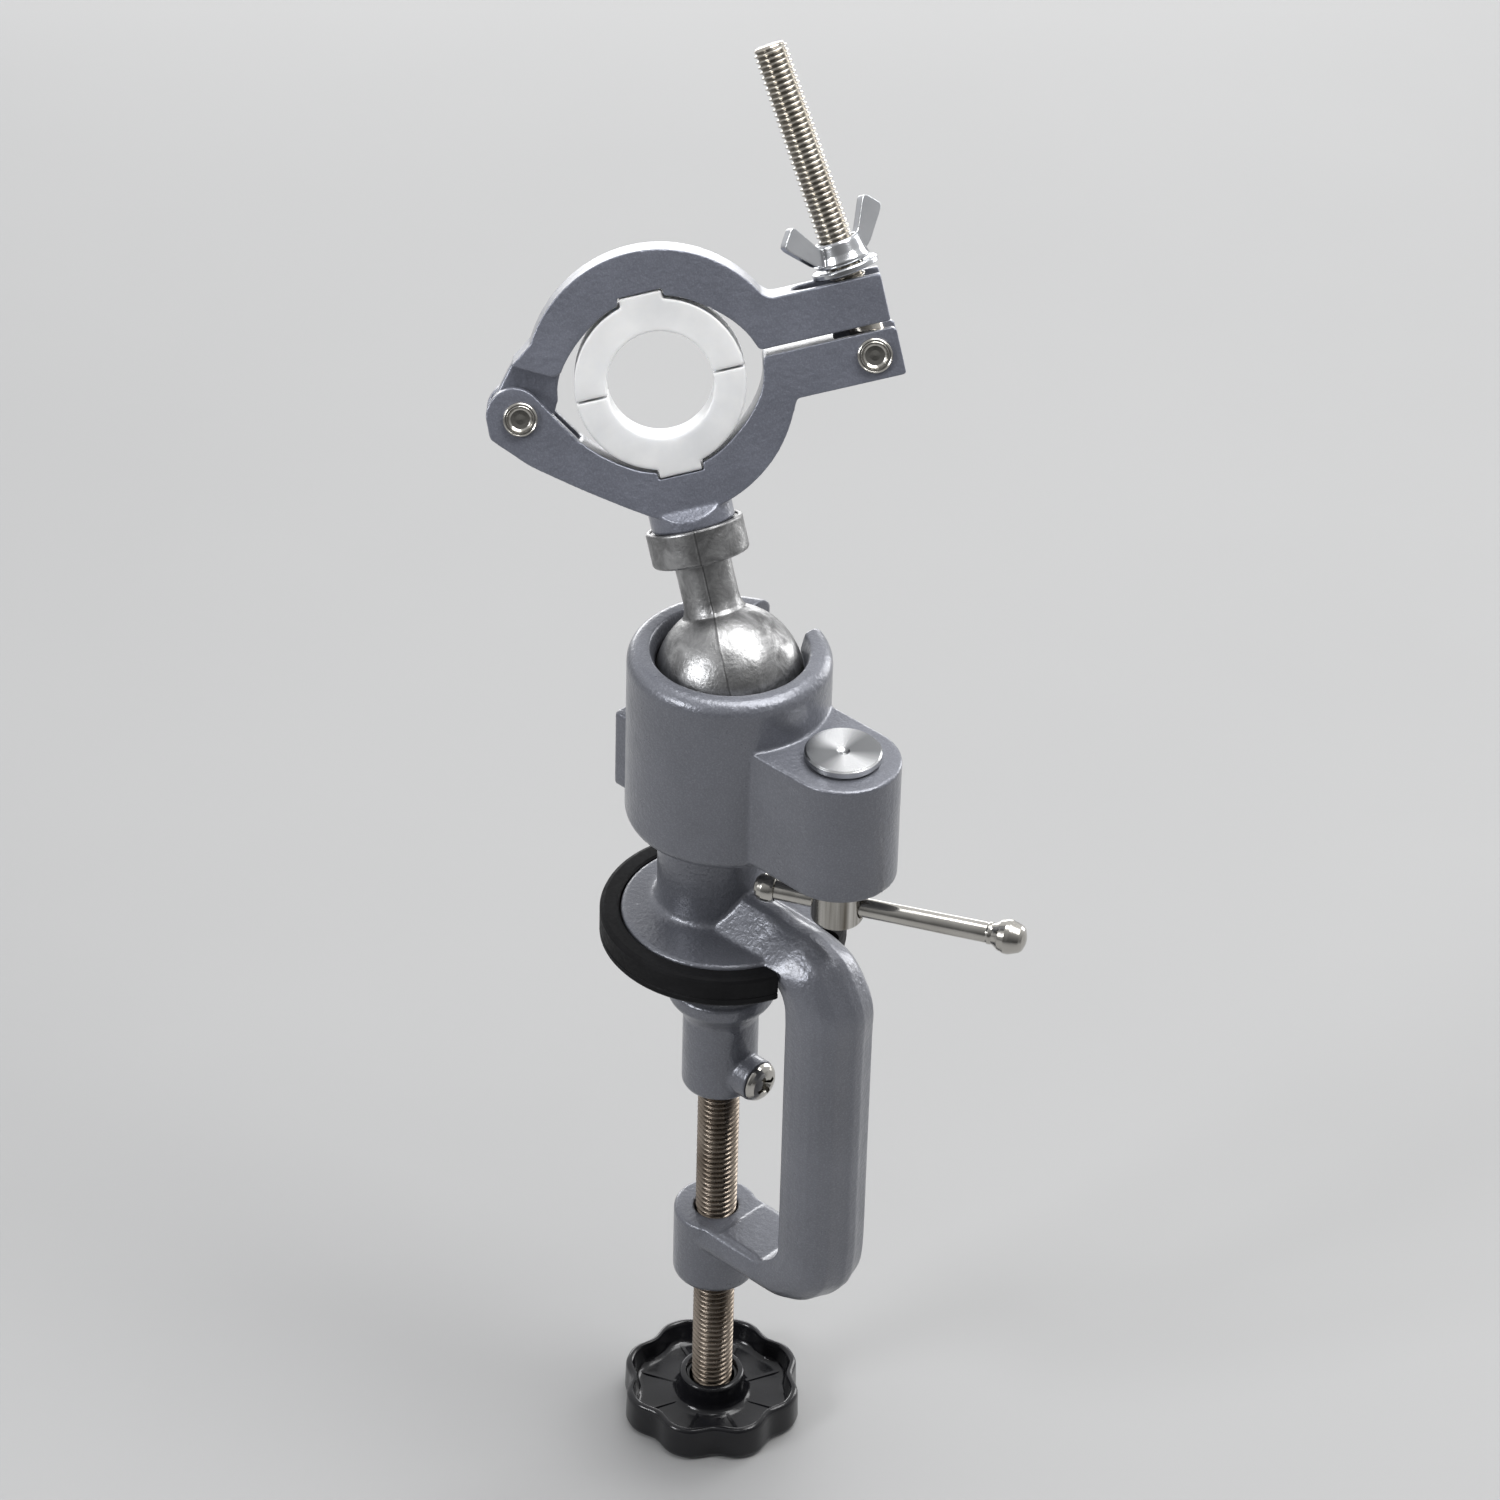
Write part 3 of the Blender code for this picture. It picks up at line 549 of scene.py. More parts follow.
def die_cast():
    """Blotched raw casting, darker along the vertices marked as its seam."""
    mat = new_shader("die_cast_zinc")
    where = mat.coords()
    blot = mat.noise(where, scale=210.0, detail=6.0, roughness=0.68, distortion=0.6)
    fine = mat.noise(where, scale=1300.0, roughness=0.6)
    broad = mat.noise(where, scale=60.0, detail=3.0)
    tone = mat.ramp(blot, (0.36, 0.10), (0.5, 0.22), (0.64, 0.40))
    tone = mat.mix(mat.ramp(broad, (0.4, 0.0), (0.7, 0.5)), tone, (0.46, 0.46, 0.46))
    seam = mat.node("Attribute", {}, attribute_name="seam").outputs["Fac"]
    tone = mat.mix(mat.math("MULTIPLY", seam, 0.75), tone, (0.05, 0.05, 0.05))
    normal = mat.bump(fine, distance=0.00014, strength=0.6)
    normal = mat.bump(broad, distance=0.0009, strength=0.35, normal=normal)
    normal = mat.bump(blot, distance=0.00012, strength=0.5, normal=normal)
    return mat.surface({"Base Color": tone, "Metallic": 1.0, "Normal": normal,
                        "Roughness": mat.ramp(blot, (0.3, 0.44), (0.7, 0.31))})


def rubber():
    mat = new_shader("black_rubber")
    where = mat.coords()
    fine = mat.noise(where, scale=900.0)
    broad = mat.noise(where, scale=90.0, detail=3.0)
    return mat.surface({
        "Base Color": mat.ramp(broad, (0.3, (0.004, 0.004, 0.0045)),
                               (0.75, (0.010, 0.010, 0.011))),
        "Roughness": mat.ramp(fine, (0.3, 0.5), (0.7, 0.68)),
        "Specular IOR Level": 0.12,
        "Normal": mat.bump(fine, distance=0.00008, strength=0.5)})


def knob_plastic():
    mat = new_shader("gloss_black_plastic")
    where = mat.coords()
    broad = mat.noise(where, scale=60.0, detail=3.0)
    fine = mat.noise(where, scale=420.0, detail=5.0, roughness=0.7)
    normal = mat.bump(fine, distance=0.00012, strength=0.4)
    return mat.surface({
        "Base Color": mat.ramp(broad, (0.3, (0.004, 0.004, 0.005)),
                               (0.8, (0.010, 0.010, 0.012))),
        "Roughness": mat.ramp(fine, (0.35, 0.13), (0.75, 0.3)),
        "Specular IOR Level": 0.35,
        "Normal": mat.bump(broad, distance=0.0009, strength=0.3, normal=normal),
        "Coat Weight": 0.15,
        "Coat Roughness": 0.05})


def sleeve_plastic():
    mat = new_shader("translucent_white_plastic")
    where = mat.coords()
    broad = mat.noise(where, scale=70.0)
    fine = mat.noise(where, scale=600.0, detail=3.0)
    return mat.surface({
        "Base Color": mat.ramp(broad, (0.3, (0.62, 0.625, 0.63)), (0.7, (0.76, 0.76, 0.755))),
        "Roughness": mat.ramp(fine, (0.3, 0.3), (0.7, 0.42)),
        "Normal": mat.bump(fine, distance=0.00005, strength=0.4),
        "Subsurface Weight": 0.7,
        "Subsurface Radius": (0.006, 0.0062, 0.0066),
        "Subsurface Scale": 0.6,
        "Transmission Weight": 0.04,
        "IOR": 1.49})


def nylon():
    mat = new_shader("natural_nylon")
    where = mat.coords()
    tone = mat.ramp(mat.noise(where, scale=80.0), (0.3, (0.62, 0.6, 0.52)),
                    (0.7, (0.75, 0.73, 0.66)))
    fine = mat.noise(where, scale=700.0)
    return mat.surface({"Base Color": tone, "Roughness": 0.45,
                        "Normal": mat.bump(fine, distance=0.00005, strength=0.4)})


CAST_PAINT = paint("cast_paint", base=(0.140, 0.146, 0.168), light=(0.34, 0.35, 0.38),
                   roughness=0.33, metallic=0.4, peel_scale=900.0, coat=0.4)
RING_PAINT = paint("ring_paint", base=(0.165, 0.174, 0.210), light=(0.36, 0.38, 0.43),
                   roughness=0.36, metallic=0.45, peel_scale=760.0, coat=0.7)
NICKEL = metal("nickel_bright", base=(0.52, 0.505, 0.47), dark=(0.22, 0.20, 0.165),
               roughness=0.17, grain=(1, 1, 3), grain_scale=240.0)
# The thread and screw nickels darken their thread valleys as painted shade.
THREAD_NICKEL = metal("thread_nickel", base=(0.56, 0.53, 0.475), dark=(0.30, 0.265, 0.22),
                      roughness=0.2, grain=(1, 1, 2), grain_scale=420.0,
                      bump_distance=0.000004, spot=0.4, painted_valley_shade=True)
SCREW_NICKEL = metal("screw_nickel", base=(0.26, 0.222, 0.185), dark=(0.10, 0.078, 0.058),
                     roughness=0.27, grain_scale=500.0, bump_distance=0.000006, spot=0.7,
                     painted_valley_shade=True)
# Painted reflections: the nut's dark streaks along Z.
NUT_NICKEL = metal("nut_nickel", base=(0.60, 0.585, 0.55), dark=(0.10, 0.085, 0.065),
                   roughness=0.2, grain=(1, 1, 0.05), grain_scale=500.0, spot=0.95,
                   reflection_streak_scale=330.0)
ZINC = metal("zinc_plate", base=(0.60, 0.61, 0.625), dark=(0.30, 0.32, 0.34),
             roughness=0.2, grain_scale=90.0, bump_distance=0.00006, spot=0.3)
TURNED_FACE = turned_face()
DIE_CAST = die_cast()
RUBBER = rubber()
KNOB_PLASTIC = knob_plastic()
SLEEVE_PLASTIC = sleeve_plastic()
BRASS = metal("plain_brass", base=(0.72, 0.52, 0.24), dark=(0.4, 0.27, 0.1), roughness=0.25)
NYLON = nylon()


# ------------------------------------------------------------------ C frame casting
# Stations down the C: inner x, z, outer x, z, and how fully the section has grown.
C_STATIONS = [
    (-2, 3.5, -2, 15.6, 0), (14, 3.5, 15, 15.6, 0), (19, 3.4, 21, 14.6, 0.08),
    (22.9, 3.2, 28, 14.4, 0.2), (25.2, 2.0, 33.0, 12.8, 0.4), (26.6, 0.2, 37.0, 10.4, 0.6),
    (27.5, -2.6, 40.8, 5.0, 0.8), (27.8, -7, 43.8, -2, 0.95), (27.8, -12, 43.8, -12, 1),
    (27.8, -30, 43.8, -30, 1), (27.8, -50, 43.8, -50, 1), (27.8, -74, 43.8, -72, 1)]
for inner, outer in zip(arc(18.8, -74.5, 9, -18, -90, 4), arc(26.8, -76.0, 17, -18, -90, 4)):
    C_STATIONS.append((*inner, *outer, 1))
C_STATIONS += [(10, -83.5, 10, -93.0, 1), (1.0, -83.5, 1.0, -93.0, 1)]


def c_section(inner_x, inner_z, outer_x, outer_z, full):
    """One section of the C: flat inner face, a narrow band beside it, flanks and a ridge
    strip; where it grows out of the neck (full < 1) the flank leans back from low down."""
    start, end = Vector((inner_x, 0, inner_z)), Vector((outer_x, 0, outer_z))
    along = (end - start).normalized()
    depth = (end - start).length
    half = 10.0
    full = max(0.0, min(1.0, full))
    flank_start = 3.9 + (depth - 5.4 - 3.9) * 0.42 * full
    flank_end = depth - 0.9
    # Along the flank, and across from the ridge strip's edge to the full half width.
    flank = ((0.30 + 0.02 * full, 0.30 - 0.25 * full), (0.58 + 0.02 * full, 0.58 - 0.39 * full),
             (0.82 + 0.04 * full, 0.82 - 0.34 * full))
    shape = [(0, -half + 1.7), (0.5, -half + 1.05), (3.4, -half + 0.2),
             (max(3.6, flank_start), -half)]
    shape += [(flank_start + (flank_end - flank_start) * a, -half + (half - 2.6) * c)
              for a, c in flank]
    shape += [(flank_end, -2.6), (depth - 0.35, -1.2)]
    shape += [(p, -y) for p, y in shape[::-1]]
    return [(start.x + along.x * p, y, start.z + along.z * p) for p, y in shape]


def catmull(points, steps):
    """A smooth curve through rows of numbers."""
    result = []
    last = len(points) - 1
    for k in range(last):
        p0, p1, p2, p3 = [Vector(points[max(0, min(last, k + j))]) for j in (-1, 0, 1, 2)]
        for i in range(steps):
            t = i / steps
            result.append(tuple(0.5 * ((2 * p1) + (p2 - p0) * t
                                       + (2 * p0 - 5 * p1 + 4 * p2 - p3) * t * t
                                       + (3 * p1 - p0 - 3 * p2 + p3) * t ** 3)))
    result.append(points[-1])
    return result


def head_parts():
    """The neck, the round flange, and the lug and flat plate on the head's sides."""
    radius = 12.4
    foot_curve = [(radius + 2.0 - 2.0 * math.cos(math.radians(a)),
                   10.4 - 2.3 * math.sin(math.radians(a))) for a in range(0, 91, 15)]
    neck = turned("neck_form", [
        (0, 36.5), (radius + 1.2, 36.5), (radius + 0.5, 35.4), (radius, 34.6), (radius, 10.6),
        *foot_curve, (radius + 2.0, 6.0), (0, 6.0)])
    neck.matrix_world = Matrix.Translation((-4.5 * MM, 0, 0))
    flange = turned("flange_form", [(0, 8.0), (23.0, 8.0), (23.8, 7.6), (24.0, 7.0),
                                    (24.0, 3.3), (0, 3.3)], 128)
    lug_radius = 13.3
    lug = extrude("lug_form", [(12.0, -lug_radius), *arc(LUG_X, 0, lug_radius, -90, 90, 40),
                               (12.0, lug_radius)], 37.0, 68.0)
    bevel(lug, 0.9, 4, angle=40)
    plate = block("plate_form", (CAST_LOW.x, -11, 35.4), (-15, 11, 56.0))
    bevel(plate, 0.8, 3)
    return [neck, flange, lug, plate]


def casting_hollows():
    """The ball's cavity, the stem's notch towards -X, and the pin, cross and screw bores."""
    ball_z, radius = 73, 17.3
    dome = [(radius * math.cos(math.radians(a)), ball_z + radius * math.sin(math.radians(a)))
            for a in (9, 6, 3, 0)]
    cavity = turned("cavity_form", [
        (0, 92), (18.6, 92), (18.6, HEAD_TOP + 0.5), (18.0, HEAD_TOP - 0.6), (16.95, 77.3),
        (16.95, 76.4), *dome, (radius, 52), (0, 52)], 128)
    half = 7.8
    notch = extrude("notch_form", [(-half, 22), *arc(0, 0, half, 180, 360, 24), (half, 22)],
                    0, 34)
    turn = Matrix(((-1, 0, 0, 0), (0, 0, 1, 0), (0, 1, 0, 0), (0, 0, 0, 1)))
    notch.matrix_world = Matrix.Translation((0, 0, ball_z * MM)) @ turn
    return [cavity, notch,
            rod("pin_bore_form", (LUG_X, 0, 30), (LUG_X, 0, 75), 4.3),
            rod("shoe_bore_form", (10, 0, 57), (LUG_X, 0, 57), 4.3),
            rod("screw_bore_form", (0, 0, -110), (0, 0, -75), 5.3)]


def holder_casting():
    radius, fillet, base = 23.4, 3.4, 35.0
    casting = turned("holder_casting", [
        (0, HEAD_TOP), *arc(radius - fillet, HEAD_TOP - fillet, fillet, 90, 0, 10),
        (radius, base + 2.2), (radius - 0.6, base + 0.7), (radius - 2.0, base), (0, base)], 128)
    forms = head_parts()
    forms.append(loft("c_form", [c_section(*station) for station in catmull(C_STATIONS, 4)]))
    boss_radius, boss_base, boss_fillet = 10.2, -103.8, 2.2
    forms.append(turned("boss_form", [
        (0, -83.3), (9.6, -83.3), (boss_radius, -83.9),
        *arc(boss_radius - boss_fillet, boss_base + boss_fillet, boss_fillet, 0, -90, 6),
        (0, boss_base)], 80))
    forms.append(block("ledge_form", (8.6, -7.6, -84.5), (24.0, 7.6, -82.9)))
    boolean(casting, forms, "UNION")
    boolean(casting, casting_hollows(), "DIFFERENCE")
    soften(casting, 0.42, 4)
    clamp_to(casting, CAST_LOW, CAST_HIGH)
    finish(casting, CAST_PAINT, "frame", "c_frame_casting")


def rubber_pad():
    pad = turned("rubber_pad", [
        (0, 3.0), (24.0, 3.0), (24.3, 3.3), (24.3, 7.3), (24.8, 7.75), (27.8, 7.8), (28.6, 7.5),
        (28.9, 6.8), (28.9, 2.6), (28.7, 2.3), (28.9, 2.0), (28.9, 0.9), (28.4, 0.25),
        (27.6, 0.0), (0, 0)], 160)
    boolean(pad, [block("pad_slot_form", (21.2, -10.4, -2), (32, 10.4, 10))], "DIFFERENCE")
    shade(pad, 28)
    finish(pad, RUBBER, "frame", "table_pad")


def dress_internal_pieces():
    """These pieces keep their CAD solids and only take a material."""
    for node, material in (("ball_seat", NYLON), ("brake_plunger", BRASS),
                           ("ring_fixing_screw", NICKEL)):
        materials = frame["nodes"][node].data.materials
        materials.clear()
        materials.append(material)


# ------------------------------------------------------------------ ball stem
def raise_seam(stem):
    """Parting line of the casting: a thin raised fin in one plane through the axis."""
    half_width, height, mark_width = 0.36, 0.11, 0.3
    seam = stem.data.attributes.new("seam", "FLOAT", "POINT")
    for vertex in stem.data.vertices:
        point = vertex.co / MM
        radius = math.hypot(point.x, point.y)
        if radius < 3.0:
            continue
        angle = math.atan2(point.y, point.x)
        for side in (math.radians(-91.0), math.radians(89.0)):
            wander = 0.012 * noise.noise(Vector((0.0, side, point.z * 0.4)))
            turn = (angle - side - wander + math.pi) % (2 * math.pi) - math.pi
            distance = abs(turn) * radius
            if distance < half_width:
                rough = 0.7 + 0.6 * noise.noise(Vector((7.0, side, point.z * 0.9)))
                lift = height * (1 - (distance / half_width) ** 2) * rough
                vertex.co.x *= 1.0 + lift / radius
                vertex.co.y *= 1.0 + lift / radius
                seam.data[vertex.index].value = max(0.0, 1.0 - distance / mark_width)


def ball_stem():
    ball_radius, neck_radius = 17.0, 6.5
    neck_angle = math.degrees(math.asin(neck_radius / ball_radius))
    ball_angles = [math.radians(neck_angle + 4 + (160 - neck_angle) * k / 70)
                   for k in range(71)]
    ball = [(ball_radius * math.sin(a), ball_radius * math.cos(a)) for a in ball_angles]
    stem = turned("ball_and_stem", [
        (0, 22.0), (2.4, 22.0), (2.4, 35.6), (9.95, 35.6), (10.1, 35.7), (10.15, 36.0),
        (10.3, 36.17), (10.5, 36.2), (10.85, 36.18), (11.1, 36.0), (11.2, 35.7), (11.2, 28.9),
        (11.12, 28.5), (10.85, 28.15), (10.4, 27.95), (9.9, 27.9), (7.3, 27.9), (6.9, 27.8),
        (6.62, 27.5), (neck_radius, 27.05), (6.45, 24.0), (6.45, 18.6), (6.6, 17.2),
        (6.9, 16.2), (7.3, 15.45), *ball, (0, ball[-1][1])], 360)
    raise_seam(stem)
    shade(stem, 40)
    place(stem, STEM)
    finish(stem, DIE_CAST, "stem", "ball_stem")


# ------------------------------------------------------------------ locking pin, nut and T bar
def lock_pin():
    pin = turned("lock_pin_turned", [
        (0, 69.45), (0.7, 69.5), (1.15, 69.75), (1.5, 70.0), (4.0, 70.18), (7.6, 70.4),
        (8.35, 70.35), (8.75, 69.95), (8.75, 68.75), (8.5, 68.35), (4.0, 68.3), (4.0, 31.7),
        (3.6, 31.2), (0, 31.2)], 128)
    place(pin, LUG)
    shade(pin, 30)
    finish(pin, TURNED_FACE, "lock_pin_body", "lock_pin")


def lock_nut():
    nut = turned("lock_nut_turned", [
        (0, 30.8), (4.3, 30.8), (4.3, 36.7), (5.4, 36.7), (5.9, 36.45), (6.1, 36.0),
        (6.1, 24.2), (5.95, 23.75), (5.5, 23.5), (0, 23.5)])
    place(nut, LUG)
    reach = BAR_AXIS * 0.012
    hole = rod("bar_hole_form", (LUG_PLACE - reach) / MM, (LUG_PLACE + reach) / MM, 2.7, 40)
    # The cut and the bevel are evaluated together.
    modify(nut, "BOOLEAN", operation="DIFFERENCE", solver="EXACT", object=hole)
    bevel(nut, 0.18, 2, angle=50)
    bpy.data.objects.remove(hole, do_unlink=True)
    shade(nut, 35)
    finish(nut, NUT_NICKEL, "lock_nut_body", "lock_nut")


BAR_LONG, BAR_SHORT = 40.6, -16.6


def t_bar():
    """The bar with its fixed knob at the long end."""
    radius, top = 2.4, BAR_LONG
    waist_top, waist_steps = top - 5.2, 14
    # A very slight waist between the knob and the short end.
    waist = [(radius - 0.12 * math.sin(math.pi * k / waist_steps) ** 2,
              waist_top - (waist_top - BAR_SHORT - 0.5) * k / waist_steps)
             for k in range(1, waist_steps + 1)]
    bar = turned("t_bar_rod", [
        (0, top + 4.0), (1.3, top + 3.8), (2.6, top + 3.3), (3.2, top + 2.6), (3.55, top + 1.6),
        (4.0, top + 0.3), (4.0, top - 0.8), (3.5, top - 2.3), (2.75, top - 3.3),
        (2.45, top - 3.9), (2.6, top - 4.2), (2.6, top - 4.8), (radius, waist_top),
        *waist, (radius - 0.4, BAR_SHORT), (0, BAR_SHORT)], 64)
    place(bar, BAR)
    shade(bar, 38)
    finish(bar, NICKEL, "bar", "t_bar")


def t_bar_cap():
    # Radius, height from the bar's short end.
    profile = [(0, -0.3), (2.7, -0.3), (2.7, 1.9), (3.0, 1.75), (3.3, 1.1), (3.4, 0.2),
               (3.35, -0.9), (3.0, -1.9), (2.2, -2.7), (1.1, -3.1), (0, -3.2)]
    cap = turned("t_bar_cap", [(radius, BAR_SHORT + z) for radius, z in profile], 64)
    place(cap, BAR)
    shade(cap, 38)
    finish(cap, NICKEL, "bar", "t_bar_end_cap")


# ------------------------------------------------------------------ clamp screw, foot and knob
def clamp_screw():
    low, high = cad_box("clamp_screw")
    screw = threaded("clamp_screw_thread", high.z, low.z, major=5.0, minor=4.12, pitch=1.5,
                     plain=(-35.7, -40.3, 3.8))
    shade(screw, 60)
    finish(screw, SCREW_NICKEL, "screw", "clamp_screw")


RETAINER_Z = -38


def pressure_foot():
    foot = turned("foot_cup", [
        (0, -14.0), (11.9, -14.0), (12.5, -14.2), (12.8, -14.8), (12.8, -17.2), (12.3, -18.2),
        (10.6, -20.4), (9.5, -21.8), (9.0, -23.4), (9.0, -43.2), (8.7, -44.0), (8.0, -44.4),
        (5.9, -44.4), (5.3, -43.8), (5.3, -24.3), (0, -24.3)])
    boss = rod("foot_boss_form", (6.0, 0, RETAINER_Z), (12.5, 0, RETAINER_Z), 5.2)
    hole = rod("foot_hole_form", (0, 0, RETAINER_Z), (16, 0, RETAINER_Z), 2.3, 32)
    boolean(foot, [boss], "UNION")
    boolean(foot, [hole], "DIFFERENCE")
    soften(foot, 0.3, 5)
    clamp_to(foot, *cad_box("pressure_foot"))
    finish(foot, CAST_PAINT, "foot", "pressure_foot")


def retaining_screw():
    """A cross-head screw that lies along +X in the foot's boss."""
    screw = turned("retaining_screw_head", [
        (0, 15.2), (1.4, 15.16), (2.6, 14.95), (3.7, 14.5), (4.5, 13.8), (4.85, 13.2),
        (4.85, 12.85), (2.0, 12.8), (2.0, 4.3), (0, 4.3)], 72)
    half_width, half_length = 0.55, 2.7
    recess = [
        block("cross_a", (-half_width, -half_length, 13.4), (half_width, half_length, 16.5)),
        block("cross_b", (-half_length, -half_width, 13.4), (half_length, half_width, 16.5)),
        rod("cross_c", (0, 0, 12.9), (0, 0, 16.0), 0.5, 24, end_radius=2.1)]
    boolean(screw, recess, "DIFFERENCE")
    shade(screw, 30)
    place(screw, Matrix.Translation((0, 0, RETAINER_Z * MM))
          @ Matrix.Rotation(math.radians(90), 4, "Y")
          @ Matrix.Rotation(math.radians(20), 4, "Z"))
    finish(screw, NICKEL, "foot", "foot_retaining_screw")


def hand_knob():
    """A lobed rim round a flat ribbed floor, with a hub in the middle."""
    low, high = cad_box("hand_knob")
    base, rim, hub = low.z, -138.4, high.z
    lobes, lobe_depth, segments = 8, 2.0, 256
    # Radius, height, how much of the lobing the level keeps.
    levels = [
        (21.0, base, 1.0), (21.7, base + 0.12, 1.0), (22.1, base + 0.6, 1.0),
        (22.28, base + 1.3, 1.0), (22.28, base + 1.5, 1.0), (22.1, rim - 1.6, 1.0),
        (22.05, rim - 1.1, 1.0), (21.8, rim - 0.4, 1.0), (21.3, rim - 0.06, 1.0),
        (20.9, rim, 1.0), (20.5, rim - 0.1, 0.95), (20.2, rim - 0.5, 0.9),
        (20.0, rim - 1.1, 0.85), (19.4, base + 5.0, 0.75), (19.0, base + 4.2, 0.6),
        (18.2, base + 3.7, 0.5), (17.0, base + 3.5, 0.3),
        (10.4, base + 3.6, 0), (9.0, base + 4.0, 0), (8.3, base + 4.9, 0),
        (8.0, base + 6.4, 0), (7.95, hub - 0.7, 0), (7.8, hub - 0.25, 0), (7.4, hub, 0),
        (6.5, hub - 0.05, 0), (6.2, hub - 0.4, 0), (6.1, hub - 1.4, 0), (5.6, hub - 1.5, 0),
        (5.5, hub - 2.0, 0), (5.5, base + 1.9, 0)]
    angles = [2 * math.pi * i / segments for i in range(segments)]
    waves = [(0.5 + 0.5 * math.cos(lobes * a)) ** 1.5 for a in angles]
    mesh = bmesh.new()
    rings = [vertex_ring(mesh, [radius - lobe_depth * keep * wave for wave in waves], z)
             for radius, z, keep in levels]
    bridge(mesh, rings)
    hub_centre = mesh.verts.new((0, 0, (base + 1.9) * MM))
    base_centre = mesh.verts.new((0, 0, base * MM))
    for i in range(segments):
        j = (i + 1) % segments
        mesh.faces.new((rings[-1][i], rings[-1][j], hub_centre))
        mesh.faces.new((rings[0][j], rings[0][i], base_centre))
    bmesh.ops.recalc_face_normals(mesh, faces=mesh.faces)
    knob = to_object("knob_moulding", mesh)
    ribs = []
    for k in range(lobes):
        rib = block("rib_%d" % k, (7.0, -0.4, base + 1.5), (18.6, 0.4, base + 3.85))
        rib.matrix_world = Matrix.Rotation(2 * math.pi * (k + 0.5) / lobes, 4, "Z")
        ribs.append(rib)
    boolean(knob, ribs, "UNION")
    shade(knob, 40)
    finish(knob, KNOB_PLASTIC, "screw", "hand_knob")


# ------------------------------------------------------------------ ring jaws
JAW_HALF = 6.9
BORE_RADIUS, BORE_FLARE, JAW_RADIUS = 20.0, 3.3, 30.4
NOTCH_RADIUS, NOTCH_HALF = 21.0, 5.2
HINGE_BORE = 3.3


def bore_arc(start, end):
    """The bore's edge, which widens towards the joint line at +x and -x."""
    result = []
    for k in range(161):
        a = math.radians(start + (end - start) * k / 160)
        radius = BORE_RADIUS + BORE_FLARE * math.cos(a) ** 6
        result.append((radius * math.cos(a), radius * math.sin(a)))
    return result


def notch_points(sign):
    """A square notch in the bore, from -x to +x."""
    y = math.sqrt(BORE_RADIUS ** 2 - NOTCH_HALF ** 2)
    return [(-NOTCH_HALF, sign * y), (-NOTCH_HALF, sign * NOTCH_RADIUS),
            (NOTCH_HALF, sign * NOTCH_RADIUS), (NOTCH_HALF, sign * y)]


def hinge_bore_form():
    return rod("hinge_bore_form", (*HINGE, -12), (*HINGE, 12), HINGE_BORE)


def upper_jaw_outline():
    bore = bore_arc(2.0, 178.0)
    right = [p for p in bore if p[0] > 5.3 and p[1] > 4.6]
    left = [p for p in bore if p[0] < -5.3]
    shoulder = rounded([(52.8, 13.4), (28.2, 13.4)] + arc(0, 0, JAW_RADIUS, 29.5, 33.0, 2),
                       [0, 1.3, 0, 0, 0], 6)
    return (rounded([(52.0, 2.5), (53.3, 2.5), (53.3, 13.4), (52.4, 13.4)], 0.45, 4)
            + shoulder[1:] + arc(0, 0, JAW_RADIUS, 34.0, 150.0, 90)
            + rounded([(-26.3, 15.2), (-31.2, 11.8), (-36.0, 6.0), (-37.8, 4.2)], 2.0, 6)[1:-1]
            + arc(*HINGE, 7.3, 141.0, 340.0, 40)
            + [(left[-1][0] - 0.1, 1.0)] + left[::-1] + notch_points(1) + right[::-1]
            + rounded([(22.5, 4.9), (23.2, 2.5), (28.0, 2.5)], [0, 1.9, 0], 8)[1:])


def upper_jaw():
    """The knuckle between the lower jaw's ears is thinner than the rest, so the casting is
    two layers grown together."""
    outline = upper_jaw_outline()
    cut_start = max(i for i, p in enumerate(outline)
                    if math.hypot(*p) > 29.0 and p[0] > -26.8 and p[1] > 15.1)
    cut_end = min(i for i, p in enumerate(outline)
                  if i > cut_start and p[1] > 7.2 and p[0] > -22.6)
    thick = (outline[:cut_start + 1] + [(-31.3, 11.75), (-31.1, 11.35), (-22.9, 6.9)]
             + outline[cut_end:])
    jaw = extrude("upper_jaw_casting", thick, -JAW_HALF, JAW_HALF)
    # A slot for the bolt, open towards +x with a round inner end.
    slot_half = 4.5
    slot = extrude("bolt_slot_form", [(60.0, -slot_half), (60.0, slot_half),
                                      *arc(37.5, 0, slot_half, 90, 270, 24)], -17.3, 2.0)
    place(slot, Matrix.Rotation(math.radians(90), 4, "X"))
    boolean(jaw, [slot], "DIFFERENCE")
    knuckle = extrude("knuckle_form", [p for p in outline if p[0] < -16.0], -2.9, 2.9)
    boolean(knuckle, [hinge_bore_form()], "DIFFERENCE")
    merged = bmesh.new()
    merged.from_mesh(jaw.data)
    merged.from_mesh(knuckle.data)
    merged.to_mesh(jaw.data)
    merged.free()
    bpy.data.objects.remove(knuckle, do_unlink=True)
    soften(jaw, 0.3, 4)
    place(jaw, RING)
    finish(jaw, RING_PAINT, "ring_top", "upper_jaw")


